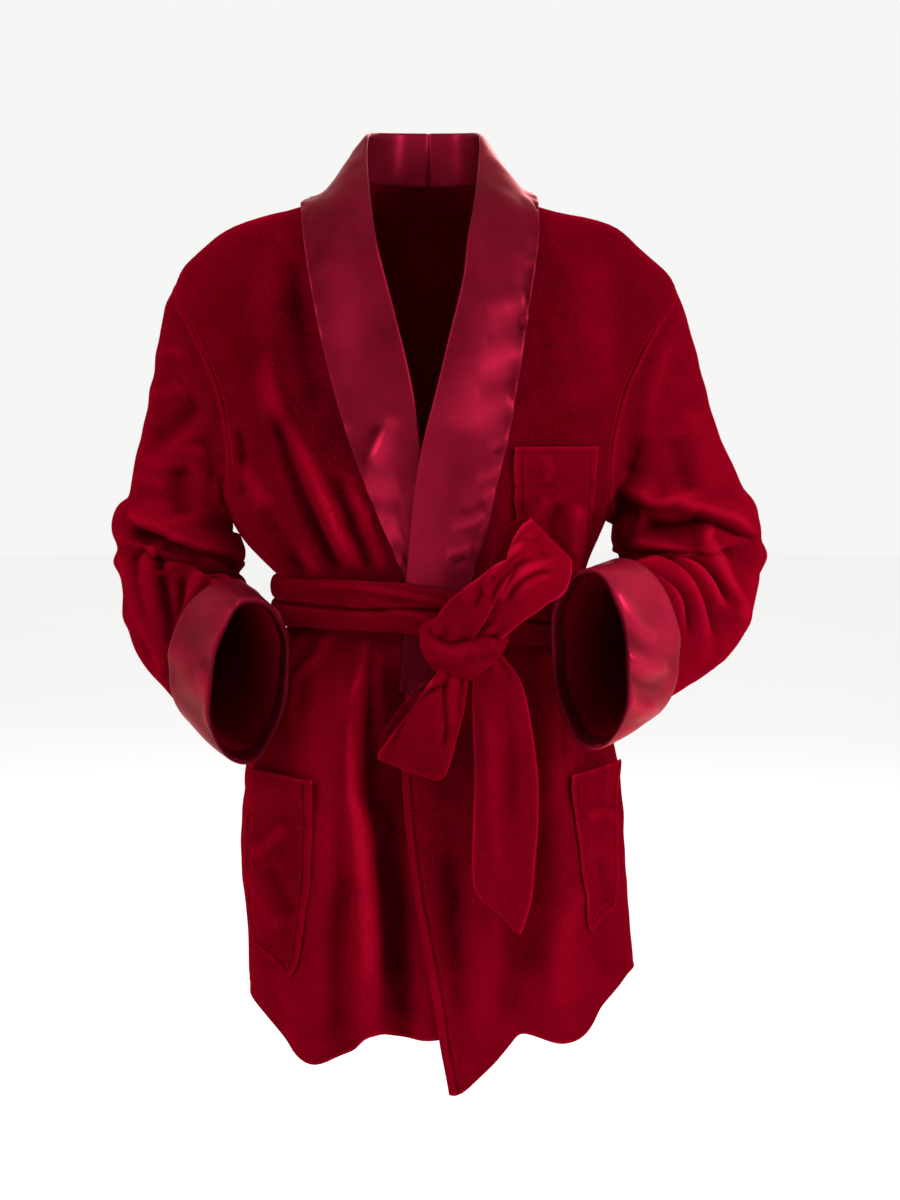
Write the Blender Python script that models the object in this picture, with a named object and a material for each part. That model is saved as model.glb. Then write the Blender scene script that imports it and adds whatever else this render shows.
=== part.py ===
"""Smoking jacket worn open at the neck and tied with its own belt.

Sizes are in millimetres and turned to metres where the meshes are made. The origin is
the middle of the neck opening, level with the collar seam; +Z is up, the front faces -Y
and the wearer's left is +X. Angles run round the body from the front centre, left positive.
"""
import math

import bmesh
import bpy
import numpy as np

for old in list(bpy.data.objects):
    bpy.data.objects.remove(old, do_unlink=True)

CLOTH = 2.0
SEAM_GAP = 0.3
LAP = 5.0
LAPEL_OFF = 4.6
POCKET_OFF = 2.35
BELT_OFF = 4.1
UNDERARM = -338.0
SHOULDER = -112.0
SKIRT_TOP = -560.0
HEM = -810.0

# z, right half width, left half width, front depth, back depth, squareness
LEVELS = np.array((
    (0, 50, 50, 30, 50, 2.0),
    (-18, 66, 64, 45, 64, 2.0),
    (-28, 80, 77, 54, 72, 2.0),
    (-40, 101, 96, 64, 81, 2.0),
    (-50, 132, 124, 72, 88, 2.05),
    (-62, 177, 167, 80, 94, 2.1),
    (-84, 211, 198, 90, 100, 2.2),
    (-112, 234, 229, 99, 105, 2.3),
    (-160, 229, 222, 109, 110, 2.4),
    (-210, 212, 201, 116, 111, 2.4),
    (-260, 204, 189, 120, 107, 2.4),
    (-300, 199, 183, 121, 102, 2.4),
    (-338, 187, 170, 119, 97, 2.35),
    (-368, 166, 158, 115, 93, 2.3),
    (-390, 143, 150, 110, 89, 2.3),
    (-410, 130, 146, 106, 87, 2.3),
    (-430, 130, 148, 107, 88, 2.3),
    (-460, 150, 162, 114, 96, 2.3),
    (-505, 160, 168, 123, 108, 2.35),
    (-545, 170, 172, 129, 116, 2.4),
    (-600, 179, 182, 134, 124, 2.4),
    (-665, 185, 187, 138, 130, 2.4),
    (-735, 180, 192, 141, 133, 2.4),
    (-800, 178, 198, 143, 135, 2.4),
    (-860, 176, 200, 144, 136, 2.4),
), float)

# angle and height at the top, angle and height at the bottom, half width, height of the fold
FOLDS = (
    (-74, -290, -58, -384, 12, 5.0),
    (-54, -240, -26, -386, 14, 5.0),
    (-66, -300, -42, -388, 11, -4.0),
    (48, -280, 58, -386, 15, 4.5),
    (66, -290, 76, -384, 12, -4.0),
    (-60, -440, -66, -600, 15, 5.0),
    (-43, -440, -38, -815, 19, 6.5),
    (-24, -440, -22, -815, 13, 7.0),
    (-10, -445, -8, -820, 20, -11.0),
    (-33, -470, -31, -815, 10, -5.0),
    (-80, -560, -78, -815, 16, -5.0),
    (24, -520, 14, -830, 22, 5.0),
    (34, -470, 34, -820, 17, -6.0),
    (46, -450, 46, -820, 15, 5.5),
    (66, -445, 62, -820, 18, -5.0),
    (82, -450, 82, -820, 16, 6.0),
    (106, -445, 104, -820, 18, -6.0),
    (128, -440, 128, -820, 20, 6.0),
    (152, -440, 150, -820, 19, -6.5),
    (176, -440, 176, -820, 20, 6.0),
    (200, -440, 202, -820, 19, -6.5),
    (226, -440, 226, -820, 20, 6.0),
    (252, -440, 252, -820, 18, -5.5),
    (134, -210, 160, -386, 17, -5.0),
    (226, -210, 200, -386, 17, -5.0),
    (110, -290, 124, -386, 14, 5.0),
    (250, -290, 236, -386, 14, 5.0),
    (180, -250, 180, -388, 18, 4.0),
)

# angle, height of the hem edge
HEM_RIGHT = np.array((
    (-92, -797), (-71, -784), (-51, -808), (-40, -830), (-29, -818), (-20, -800),
    (-7, -806), (10, -800), (30, -798),
), float)
HEM_LEFT = np.array((
    (-14, -838), (4, -846), (11, -849), (17, -835), (24, -819), (32, -801), (45, -812),
    (53, -810), (61, -794), (72, -779), (92, -782),
), float)
HEM_BACK = np.array((
    (88, -782), (120, -800), (150, -806), (180, -800), (210, -806), (240, -800), (272, -797),
), float)

# height, angle of the free edge of the right front, of the left front
EDGES = np.array((
    (-18, -83, 83), (-27, -66, 66), (-38, -55, 55), (-50, -47, 46), (-64, -40, 39),
    (-86, -32, 30), (-112, -25, 23.5), (-136, -20.5, 19), (-165, -16, 15), (-198, -11.5, 10.8),
    (-232, -8.2, 6.2), (-266, -6, 2.2), (-300, -3.5, -0.8), (-322, -1, -2), (-338, 1.5, -2.8),
    (-354, 4, -3.6), (-371, 7, -4.6), (-388, 10, -5.6), (-404, 12.5, -6.4), (-420, 14.5, -7),
    (-436, 15.5, -7.2), (-454, 16, -7.2), (-480, 16.5, -7.6), (-520, 17, -10.4),
    (-565, 17, -10.6), (-608, 17, -7.2), (-652, 16.5, -3.8), (-690, 16.5, -0.8),
    (-722, 16, 1.6), (-745, 16, 3.4), (-775, 16, 5.6), (-810, 16, 8.4), (-860, 16, 10),
), float)

# height, angle of the armhole seam at the front and at the back
ARMHOLES = np.array((
    (-112, 90, 90), (-136, 82, 98), (-165, 76.2, 103), (-198, 73, 106), (-232, 70.5, 108),
    (-266, 69.2, 109), (-300, 70.5, 108.5), (-322, 76.5, 103), (-338, 90, 90),
), float)

ROWS = (-18, -27, -38, -50, -64, -86, -112, -136, -165, -198, -232, -266, -300, -322, -338,
        -354, -371, -388, -404, -420, -436, -454, -480, -520, -565, -608, -652, -690, -722,
        -745, -775, -810)

# height, share of the way from free edge to outer seam of a pocket's two sides, right then left
GUIDES = np.array((
    (-18, 0.50, 0.80, 0.50, 0.82),
    (-112, 0.50, 0.80, 0.48, 0.84),
    (-266, 0.50, 0.80, 0.475, 0.885),
    (-300, 0.50, 0.80, 0.49, 0.885),
    (-322, 0.50, 0.80, 0.475, 0.835),
    (-338, 0.50, 0.80, 0.42, 0.72),
    (-388, 0.50, 0.80, 0.44, 0.72),
    (-480, 0.52, 0.81, 0.54, 0.79),
    (-565, 0.533, 0.815, 0.61, 0.845),
    (-652, 0.527, 0.805, 0.61, 0.825),
    (-722, 0.560, 0.790, 0.615, 0.79),
    (-745, 0.578, 0.775, 0.63, 0.79),
    (-810, 0.58, 0.78, 0.63, 0.80),
), float)


def glide(x, xs, ys):
    """Smooth curve through the points of a table, held level past both ends."""
    xs = np.asarray(xs, float)
    ys = np.asarray(ys, float)
    if xs[0] > xs[-1]:
        xs, ys = xs[::-1], ys[::-1]
    slopes = np.gradient(ys, xs)
    x = np.clip(x, xs[0], xs[-1])
    i = np.clip(np.searchsorted(xs, x, side="right") - 1, 0, len(xs) - 2)
    h = xs[i + 1] - xs[i]
    t = (x - xs[i]) / h
    a = ys[i] * (1 + 2 * t) + h * slopes[i] * t
    b = ys[i + 1] * (3 - 2 * t) + h * slopes[i + 1] * (t - 1)
    return a * (1 - t) ** 2 + b * t ** 2


def ease(x, start, end):
    """Goes smoothly from 0 at start to 1 at end."""
    t = np.clip((x - start) / (end - start), 0, 1)
    return t * t * (3 - 2 * t)


def fold_height(phi, z):
    """Height of the cloth's large folds at an angle and a height."""
    total = np.zeros(np.broadcast(phi, z).shape)
    for top_phi, top_z, low_phi, low_z, half, height in FOLDS:
        t = np.clip((z - top_z) / (low_z - top_z), 0, 1)
        middle = top_phi + (low_phi - top_phi) * t
        away = (phi - middle + 180) % 360 - 180
        across = np.exp(-(away * math.radians(165) / half) ** 2)
        ends = ease(z, top_z, top_z - 45) * ease(z, min(low_z - 8, -980 if low_z < -700 else 0), low_z + 22)
        total = total + height * across * ends
    return total * (1 - 0.85 * np.exp(-((z + 414) / 22) ** 2))


def torso(phi, z):
    """Point of the body surface of the jacket, folds included."""
    phi, z = np.broadcast_arrays(np.asarray(phi, float), np.asarray(z, float))
    s, c = np.sin(np.radians(phi)), np.cos(np.radians(phi))
    levels = LEVELS[:, 0]
    wide = np.where(s < 0, glide(z, levels, LEVELS[:, 1]), glide(z, levels, LEVELS[:, 2]))
    deep = np.where(c > 0, glide(z, levels, LEVELS[:, 3]), glide(z, levels, LEVELS[:, 4]))
    n = glide(z, levels, LEVELS[:, 5])
    r = ((np.abs(s) / wide) ** n + (np.abs(c) / deep) ** n) ** (-1 / n) + fold_height(phi, z)
    return np.stack((r * s, -r * c, z), -1)


def torso_normal(phi, z):
    """Outward direction of the plain body surface."""
    a = torso(phi + 1.5, z) - torso(phi - 1.5, z)
    b = torso(phi, z + 4) - torso(phi, z - 4)
    n = np.cross(a, b)
    return n / np.linalg.norm(n, axis=-1, keepdims=True)


def overlap(side, phi, z):
    """How far a front stands off the body where the two fronts lie over each other."""
    near = 1 - ease(np.abs(phi), 22, 48)
    return side * LAP * near * ease(z, -60, -130)


def front_point(side, phi, z, off=0.0):
    n = torso_normal(phi, z)
    return torso(phi, z) + n * np.expand_dims(overlap(side, phi, z) + off, -1)


def edge_angle(side, z):
    return glide(z, EDGES[:, 0], EDGES[:, 1 if side < 0 else 2])


def hem_height(side, phi, z):
    """Moves the rows of the skirt so that the last one follows the hem."""
    if side == 0:
        low = glide(phi, HEM_BACK[:, 0], HEM_BACK[:, 1])
    elif side < 0:
        low = glide(phi, HEM_RIGHT[:, 0], HEM_RIGHT[:, 1])
    else:
        low = glide(phi, HEM_LEFT[:, 0], HEM_LEFT[:, 1])
    return np.where(z < SKIRT_TOP, SKIRT_TOP + (z - SKIRT_TOP) * (low - SKIRT_TOP) / (HEM - SKIRT_TOP), z)


def unit(v):
    v = np.asarray(v, float)
    return v / np.maximum(np.linalg.norm(v, axis=-1, keepdims=True), 1e-9)


def grid_normals(points, closed=False):
    """Normals of a grid of points from its neighbours; columns wrap when closed."""
    down = np.empty_like(points)
    down[1:-1] = points[2:] - points[:-2]
    down[0] = points[1] - points[0]
    down[-1] = points[-1] - points[-2]
    if closed:
        across = np.roll(points, -1, 1) - np.roll(points, 1, 1)
    else:
        across = np.empty_like(points)
        across[:, 1:-1] = points[:, 2:] - points[:, :-2]
        across[:, 0] = points[:, 1] - points[:, 0]
        across[:, -1] = points[:, -1] - points[:, -2]
    return unit(np.cross(across, down))


def draw_in(points, normals, edge, gap):
    """Moves one edge of a grid back from its seam by the gap, square to the seam."""
    p = points
    pick = {
        "top": (p[0], p[1]), "bottom": (p[-1], p[-2]),
        "left": (p[:, 0], p[:, 1]), "right": (p[:, -1], p[:, -2]),
    }[edge]
    line, inner = pick
    tangent = unit(np.gradient(line, axis=0))
    way = unit(inner - line)
    cross = np.linalg.norm(way - (way * tangent).sum(-1, keepdims=True) * tangent, axis=-1)
    line += way * (gap / np.maximum(cross, 0.35))[:, None]


def material(name, colour, roughness):
    made = bpy.data.materials.new(name)
    made.use_nodes = True
    made.node_tree.nodes["Principled BSDF"].inputs["Base Color"].default_value = (*colour, 1)
    made.node_tree.nodes["Principled BSDF"].inputs["Roughness"].default_value = roughness
    return made


home = bpy.data.collections.new("smoking_jacket")
bpy.context.scene.collection.children.link(home)


def solid(name, points, faces, colour, roughness):
    """Makes one closed body from points in millimetres."""
    mesh = bpy.data.meshes.new(name)
    mesh.from_pydata([tuple(p) for p in np.asarray(points) / 1000.0], [], faces)
    mesh.validate()
    work = bmesh.new()
    work.from_mesh(mesh)
    bmesh.ops.recalc_face_normals(work, faces=work.faces)
    bmesh.ops.triangulate(work, faces=work.faces)
    work.to_mesh(mesh)
    work.free()
    for face in mesh.polygons:
        face.use_smooth = True
    made = bpy.data.objects.new(name, mesh)
    home.objects.link(made)
    mesh.materials.append(material(name + "_cloth", colour, roughness))
    return made


def wall(name, points, normals, colour, roughness, thickness=CLOTH, closed=False):
    """A cloth wall of even thickness about a grid of points."""
    rows, columns = points.shape[:2]
    half = normals * thickness / 2
    both = np.concatenate(((points + half).reshape(-1, 3), (points - half).reshape(-1, 3)))
    shift = rows * columns
    faces = []
    last = columns if closed else columns - 1
    for i in range(rows - 1):
        for j in range(last):
            k = (j + 1) % columns
            a, b, c, d = i * columns + j, i * columns + k, (i + 1) * columns + k, (i + 1) * columns + j
            faces.append((a, b, c, d))
            faces.append((shift + d, shift + c, shift + b, shift + a))
    rim = []
    for j in range(last):
        k = (j + 1) % columns
        rim.append((j, k))
        rim.append(((rows - 1) * columns + k, (rows - 1) * columns + j))
    if not closed:
        for i in range(rows - 1):
            rim.append(((i + 1) * columns, i * columns))
            rim.append((i * columns + columns - 1, (i + 1) * columns + columns - 1))
    for a, b in rim:
        faces.append((b, a, shift + a, shift + b))
    return solid(name, both, faces, colour, roughness)


VELVET = (0.30, 0.004, 0.018)
SATIN = (0.25, 0.012, 0.045)


# The torso panels: two fronts that lap over each other and one back, cut to the seams.

def front_columns(side, z):
    """Angles of a front's columns at one height, from its free edge to its outer seam."""
    start = edge_angle(side, z)
    stop = 90.0
    if UNDERARM < z < SHOULDER:
        stop = glide(z, ARMHOLES[:, 0], ARMHOLES[:, 1])
    stop = side * stop
    inner = np.interp(z, GUIDES[::-1, 0], GUIDES[::-1, 1 if side < 0 else 3])
    outer = np.interp(z, GUIDES[::-1, 0], GUIDES[::-1, 2 if side < 0 else 4])
    share = np.concatenate((
        np.linspace(0, inner, 5)[:-1], np.linspace(inner, outer, 4)[:-1], np.linspace(outer, 1, 3),
    ))
    return start + (stop - start) * share


def front_grid(side):
    phi = np.array([front_columns(side, z) for z in ROWS])
    z = np.repeat(np.array(ROWS, float)[:, None], phi.shape[1], 1)
    z = hem_height(side, phi, z)
    return front_point(side, phi, z), torso_normal(phi, z)


def back_grid():
    rows = []
    for z in ROWS:
        stop = 90.0
        if UNDERARM < z < SHOULDER:
            stop = float(glide(z, ARMHOLES[:, 0], ARMHOLES[:, 2]))
        rows.append(np.linspace(stop, 360 - stop, 13))
    phi = np.array(rows)
    z = np.repeat(np.array(ROWS, float)[:, None], phi.shape[1], 1)
    z = hem_height(0, phi, z)
    return torso(phi, z), torso_normal(phi, z)


# The sleeves: centre, direction of the outer line, half width across and half depth, ring by ring.
SLEEVE_RIGHT = np.array((
    (-219.5, 0, -241.5, -0.257, 0.00, 0.966, 107, 61),
    (-224, -1, -263.5, -0.344, 0.016, 0.94, 93, 61),
    (-227, -2, -286, -0.455, 0.03, 0.89, 79, 61),
    (-230.5, -3, -312, -0.634, 0.05, 0.77, 66, 61),
    (-235, -2, -337, -0.838, 0.05, 0.538, 60, 61),
    (-240, 2, -358, -0.95, 0.00, 0.31, 60, 61),
    (-241, 1, -378, -0.986, -0.08, 0.166, 59, 61),
    (-238, -7, -399, -0.97, -0.20, 0.08, 58, 61),
    (-232, -21, -418, -0.95, -0.30, 0.02, 56, 62),
    (-223, -39, -433, -0.93, -0.36, 0.00, 54, 63),
    (-207, -65, -444, -0.92, -0.39, 0.00, 51, 66),
    (-191, -90, -454, -0.92, -0.39, 0.00, 46, 70),
    (-175, -114, -463, -0.92, -0.39, 0.00, 41, 74),
    (-158, -140, -472, -0.92, -0.39, 0.00, 36, 78),
), float)
SLEEVE_LEFT = np.array((
    (209.5, 0, -240, 0.29, 0.00, 0.957, 108, 61),
    (214, -1, -262, 0.387, 0.016, 0.921, 95, 61),
    (219.5, -2, -285, 0.514, 0.024, 0.858, 83, 61),
    (227, -2, -308, 0.671, 0.048, 0.74, 73, 61),
    (238, -2, -332, 0.832, 0.05, 0.55, 67, 61),
    (249, 0, -354, 0.941, 0.03, 0.334, 66, 61),
    (256, -1, -375, 0.975, -0.06, 0.20, 64, 61),
    (254, -10, -396, 0.955, -0.25, 0.10, 63, 61),
    (245, -25, -414, 0.92, -0.38, 0.02, 60, 61),
    (230, -46, -427, 0.88, -0.47, 0.00, 56, 63),
    (209, -75, -434, 0.86, -0.51, 0.00, 51, 66),
    (188, -104, -439, 0.86, -0.51, 0.00, 46, 70),
    (166, -133, -444, 0.86, -0.51, 0.00, 41, 74),
    (144, -163, -448, 0.86, -0.51, 0.00, 37, 78),
), float)

# ring, angle round the sleeve, ring spread, angle spread, height
BUMPS_RIGHT = (
    (6.2, 60, 0.9, 75, 7.0), (7.6, 80, 0.6, 60, -7.0), (5.0, 20, 0.5, 40, -4.0),
    (8.8, 250, 0.9, 40, 5.0), (10.2, 330, 0.7, 50, 4.0), (3.4, 100, 0.8, 40, -4.0),
)
BUMPS_LEFT = (
    (6.4, 50, 0.8, 60, 6.0), (7.9, 85, 0.7, 55, -8.0), (7.2, 330, 0.8, 45, 5.0),
    (9.4, 300, 0.6, 60, 4.0), (10.6, 350, 0.6, 50, -3.5), (3.6, 95, 0.8, 40, -4.0),
)
RINGS = np.arange(1, 15)
SLEEVE_ROWS = (1, 2, 3, 4, 5, 6, 7, 8, 9, 10, 11, 12.3, 13, 13.5, 13.9)
TURNS = np.linspace(0, 360, 17)[:-1]
CAP_TURNS = np.array((0, 30, 52, 72, 91, 109, 127, 145, 180, 215, 233, 251, 269, 288, 308, 330), float)


def sleeve_point(side, k, theta, off=0.0):
    """Point of a sleeve at ring k and an angle from its outer line toward the front."""
    table = SLEEVE_RIGHT if side < 0 else SLEEVE_LEFT
    k, theta = np.broadcast_arrays(np.asarray(k, float), np.asarray(theta, float))
    cap = np.interp(theta % 360, np.append(TURNS, 360), np.append(CAP_TURNS, 360))
    theta = theta + (cap - theta) * (1 - ease(k, 0.8, 5))

    def at(value):
        return np.stack([glide(value, RINGS, table[:, i]) for i in range(3)], -1)
    centre = at(k)
    outward = unit(np.stack([glide(k, RINGS, table[:, i]) for i in (3, 4, 5)], -1))
    along = at(np.minimum(k + 0.6, 14)) - at(np.maximum(k - 0.6, 1))
    along = unit(along - (along * outward).sum(-1, keepdims=True) * outward)
    forward = side * np.cross(along, outward)
    t = np.radians(theta)
    extra = np.zeros(t.shape) + off
    for ring, turn, ring_spread, spread, height in BUMPS_RIGHT if side < 0 else BUMPS_LEFT:
        away = (theta - turn + 180) % 360 - 180
        extra = extra + height * np.exp(-((k - ring) / ring_spread) ** 2 - (away / spread) ** 2)
    wide = (glide(k, RINGS, table[:, 6]) + extra) * np.cos(t)
    deep = (glide(k, RINGS, table[:, 7]) + extra) * np.sin(t)
    past = np.maximum(k - 14, 0)[..., None] * 28.0
    return centre + outward * wide[..., None] + forward * deep[..., None] + along * past


def armhole_loop(side):
    """The armhole seam, from the shoulder down the front and up the back."""
    front = [(side * row[1], row[0]) for row in ARMHOLES]
    back = [(side * row[2], row[0]) for row in ARMHOLES[-2:0:-1]]
    loop = np.array(front + back)
    return torso(loop[:, 0], loop[:, 1]), torso_normal(loop[:, 0], loop[:, 1])


def sleeve_grid(side):
    loop, loop_normals = armhole_loop(side)
    points = np.array([loop] + [sleeve_point(side, k, TURNS) for k in SLEEVE_ROWS])
    normals = grid_normals(points, True)
    middle = points.mean(1, keepdims=True)
    if ((points - middle) * normals).sum() < 0:
        normals = -normals
    return points, normals, loop_normals


seams = {}
for side in (-1, 1):
    points, normals, loop_normals = sleeve_grid(side)
    mix = normals[0] * 0.5 + loop_normals * 0.5
    sharp = np.abs(np.arange(16) - 8) < 2
    mitre = np.where(sharp[:, None], normals[0], unit(mix))
    seams[side] = np.where(sharp[:, None], loop_normals, unit(mix))
    normals[0] = mitre
    way = unit(points[1] - points[0])
    pull = SEAM_GAP / 2 + 0.12 + np.interp(np.abs(np.arange(16) - 8), (0, 1, 2, 3), (2.8, 2.6, 1.0, 0))
    points[0] += way * pull[:, None]
    word = "right" if side < 0 else "left"
    wall("sleeve_" + word, points, normals, VELVET, 0.8, closed=True)

first = ROWS.index(-112)
last = ROWS.index(-338)
grids = {}
for side in (-1, 1):
    points, normals = front_grid(side)
    normals[first:last + 1, -1] = seams[side][0:9]
    raw = points.copy()
    draw_in(points, normals, "right", SEAM_GAP / 2 + 0.02)
    grids[side] = (raw, normals)
    word = "right" if side < 0 else "left"
    wall("front_" + word, points, normals, VELVET, 0.8)

points, normals = back_grid()
around = {1: 0, -1: -1}
for side in (1, -1):
    loop_normals = seams[side]
    order = [0] + list(range(15, 7, -1))
    normals[first:last + 1, around[side]] = loop_normals[order]
draw_in(points, normals, "left", SEAM_GAP / 2 + 0.02)
draw_in(points, normals, "right", SEAM_GAP / 2 + 0.02)
wall("back", points, normals, VELVET, 0.8)

# The cuffs: satin bands turned back over the sleeve ends and lapped a little way inside.
CUFF_ROWS = (
    (12.3, 4.4), (13.0, 3.8), (13.5, 3.6), (13.9, 3.4), (14.12, 1.9), (14.12, -1.6),
    (13.9, -2.8), (13.5, -2.7),
)
for side in (-1, 1):
    points = np.array([sleeve_point(side, k, TURNS, off) for k, off in CUFF_ROWS])
    normals = grid_normals(points, True)
    centre = points[0].mean(0)
    if ((points[0] - centre) * normals[0]).sum() < 0:
        normals = -normals
    word = "right" if side < 0 else "left"
    wall("cuff_" + word, points, normals, SATIN, 0.35, closed=True)

# The shawl collar: base angle and height, fold x y z, outer edge angle and height, from the
# middle of the back to the lower end. Angles are for the right half as positive numbers.
COLLAR_RIGHT = np.array((
    (180, -16.8, 0, 64, 34, 180, -54),
    (152, -16.8, 28, 57, 33, 155, -54),
    (126, -16.8, 47, 37, 30, 131, -54),
    (106, -16.8, 55, 16, 26, 110, -47),
    (91, -16.8, 57, 1, 21, 92, -42),
    (82, -17.5, 57, -10, 13, 71, -50),
    (66, -27, 56, -30, -4, 60, -62),
    (50, -44, 52, -63, -38, 53.5, -84),
    (34, -80, 45, -94, -82, 47, -122),
    (22.5, -124, 0, 0, 0, 41.5, -168),
    (15.2, -170, 0, 0, 0, 36, -216),
    (9.8, -214, 0, 0, 0, 30, -262),
    (6.5, -254, 0, 0, 0, 23.8, -303),
    (4.0, -294, 0, 0, 0, 17.5, -340),
    (0.5, -328, 0, 0, 0, 12.5, -368),
    (-3.0, -350, 0, 0, 0, 9.5, -384),
), float)
COLLAR_LEFT = np.array((
    (180, -16.8, 0, 64, 34, 180, -54),
    (152, -16.8, 28, 57, 33, 155, -54),
    (126, -16.8, 45, 37, 30, 131, -54),
    (106, -16.8, 50, 16, 25, 110, -45),
    (91, -16.8, 50, 1, 19, 92, -38),
    (82, -17.5, 50, -12, 10, 67, -49),
    (66, -27, 48, -32, -8, 53.5, -70),
    (49, -45, 44, -70, -44, 50, -88),
    (31, -84, 37, -97, -84, 44.5, -120),
    (21, -122, 0, 0, 0, 40.5, -156),
    (14.4, -166, 0, 0, 0, 36.5, -200),
    (8.4, -214, 0, 0, 0, 32.5, -248),
    (2.4, -263, 0, 0, 0, 28, -292),
    (-1.0, -303, 0, 0, 0, 24.5, -332),
    (-3.2, -347, 0, 0, 0, 21, -366),
    (-5.6, -388, 0, 0, 0, 18, -398),
    (-7.2, -424, 0, 0, 0, 13, -434),
    (-7.4, -458, 0, 0, 0, 4, -470),
    (-7.8, -484, 0, 0, 0, -4, -490),
), float)


def collar_grid(side):
    table = COLLAR_RIGHT if side < 0 else COLLAR_LEFT
    rows = []
    for base_phi, base_z, fx, fy, fz, outer_phi, outer_z in table:
        front = base_z < -20
        base_phi = edge_angle(side, base_z) if front else side * base_phi
        outer_phi = side * outer_phi
        laps = side if abs(base_phi) < 90 else 0
        lift = LAPEL_OFF + 2.4 * float(ease(abs(outer_phi), 48, 62) * (1 - ease(abs(outer_phi), 130, 170)))

        def on(phi, z, off=0.0):
            n = torso_normal(phi, z)
            return torso(phi, z) + n * (overlap(laps, phi, z) + off)
        base = on(base_phi, base_z)
        n = torso_normal(base_phi, base_z)
        if front:
            inboard = unit(on(base_phi - side * 2, base_z) - base)
            base = base + inboard * 1.9
        if fz == 0:
            fold = base + inboard * 5.5 + n * (LAPEL_OFF / 2 + 0.2)
            up, out = inboard, n
        else:
            fold = np.array((side * fx, fy, fz), float)
            low = base * 0.5 + on((base_phi + outer_phi) / 2, (base_z + outer_z) / 2, lift) * 0.5
            up = unit(fold - low)
            out = unit(n - (n * up).sum() * up)
            if not front:
                out = unit(np.array((n[0], n[1], 0)))
        reach = min(4.0, np.linalg.norm(fold - base) * 0.4)
        inner = fold - up * reach - out * 2.3
        outer = fold - up * reach + out * 2.5
        fall = []
        for share in (0.22, 0.48, 0.74, 1.0):
            p = base_phi + (outer_phi - base_phi) * share
            z = base_z + (outer_z - base_z) * share
            lying = on(p, z, lift)
            hanging = outer + (on(outer_phi, outer_z, lift) - outer) * share
            blend = ease(share, 0.1, 0.75) if fz else 1.0
            fall.append(hanging * (1 - blend) + lying * blend)
        rows.append([base, (base + inner) / 2, inner, fold, outer] + fall)
    return np.array(rows)


for side in (-1, 1):
    points = collar_grid(side)
    normals = grid_normals(points)
    if normals[6, -1][1] > 0:
        normals = -normals
    normals[0] = unit(normals[0] * np.array((0, 1, 1)))
    draw_in(points, normals, "top", SEAM_GAP / 2 + 0.02)
    word = "right" if side < 0 else "left"
    wall("collar_" + word, points, normals, SATIN, 0.35)

# The patch pockets, made from the points of the front they lie on and moved out.
POCKETS = (
    ("pocket_right", -1, -565, -745, ((3.5, 5.0, 6.0, 4.0), (1.2, 3.0, 3.0, 1.2))),
    ("pocket_left", 1, -565, -722, ((2.0, 9.0, 15.0, 12.0), (0.6, 5.0, 7.0, 3.0))),
    ("pocket_breast", 1, -266, -388, ((1.5, 4.0, 4.0, 1.5), (0.4, 1.5, 1.5, 0.4))),
)
for name, side, top, bottom, gape in POCKETS:
    raw, normals = grids[side]
    i, j = ROWS.index(top), ROWS.index(bottom) + 1
    points = raw[i:j, 4:8].copy()
    out = normals[i:j, 4:8].copy()
    off = np.full(points.shape[:2], POCKET_OFF)
    off[0] += gape[0]
    off[1] += gape[1]
    wall(name, points + out * off[..., None], out, VELVET, 0.8)


# The belt band: a doubled strip pressed into two rolls, closed round the waist.
WAIST = np.array((
    (-180, -415), (-135, -414), (-90, -412), (-60, -410), (-33, -407), (-12, -408), (10, -415),
    (40, -421), (60, -426), (90, -430), (135, -424), (180, -415),
), float)
SECTION = (
    (22, 1.2), (12, 3.8), (0, 0.9), (-12, 3.8), (-22, 1.2), (-20, -1.6), (0, -1.9), (20, -1.6),
)


turns = np.linspace(-180, 180, 29)[:-1]
loop = []
for phi in turns:
    middle = float(glide(phi, WAIST[:, 0], WAIST[:, 1]))
    reach = max(
        np.linalg.norm((torso(phi, middle + up))[:2]) for up in (-22, -11, 0, 11, 22)
    ) - np.linalg.norm(torso(phi, middle)[:2])
    base = torso(phi, middle)
    n = unit(torso_normal(np.array(phi), np.array(middle)) * np.array((1, 1, 0)))
    far = BELT_OFF + 9.6 * (1 - float(ease(abs(phi), 24, 50))) + reach
    loop.append([base + n * (far + out) + np.array((0, 0, up)) for up, out in SECTION])
loop = np.array(loop)
count = len(SECTION)
faces = []
for i in range(len(turns)):
    for j in range(count):
        a, b = i * count + j, i * count + (j + 1) % count
        c, d = ((i + 1) % len(turns)) * count + (j + 1) % count, ((i + 1) % len(turns)) * count + j
        faces.append((a, b, c, d))
solid("belt_band", loop.reshape(-1, 3), faces, VELVET, 0.8)

# The knot of the bow: rings across it from the wearer's right to left.
KNOT = (
    (-6, -137, -434, 5, 8), (2, -141, -436, 15, 20), (14, -143, -439, 23, 27),
    (28, -145, -441, 26, 31), (42, -145, -442, 26, 31), (56, -143, -442, 24, 29),
    (68, -139, -441, 17, 23), (76, -135, -440, 6, 10),
)
loop = []
for x, y, z, deep, tall in KNOT:
    for turn in range(10):
        t = math.radians(36 * turn)
        pinch = 1 - 0.12 * math.cos(2 * t + x * 0.05)
        near = 0.8 if math.cos(t) > 0 else pinch
        loop.append((x, y + deep * math.cos(t) * near, z + tall * math.sin(t) * pinch))
faces = []
for i in range(len(KNOT) - 1):
    for j in range(10):
        k = (j + 1) % 10
        faces.append((i * 10 + j, i * 10 + k, (i + 1) * 10 + k, (i + 1) * 10 + j))
faces.append(tuple(range(9, -1, -1)))
faces.append(tuple((len(KNOT) - 1) * 10 + j for j in range(10)))
solid("belt_knot", loop, faces, VELVET, 0.8)


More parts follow.
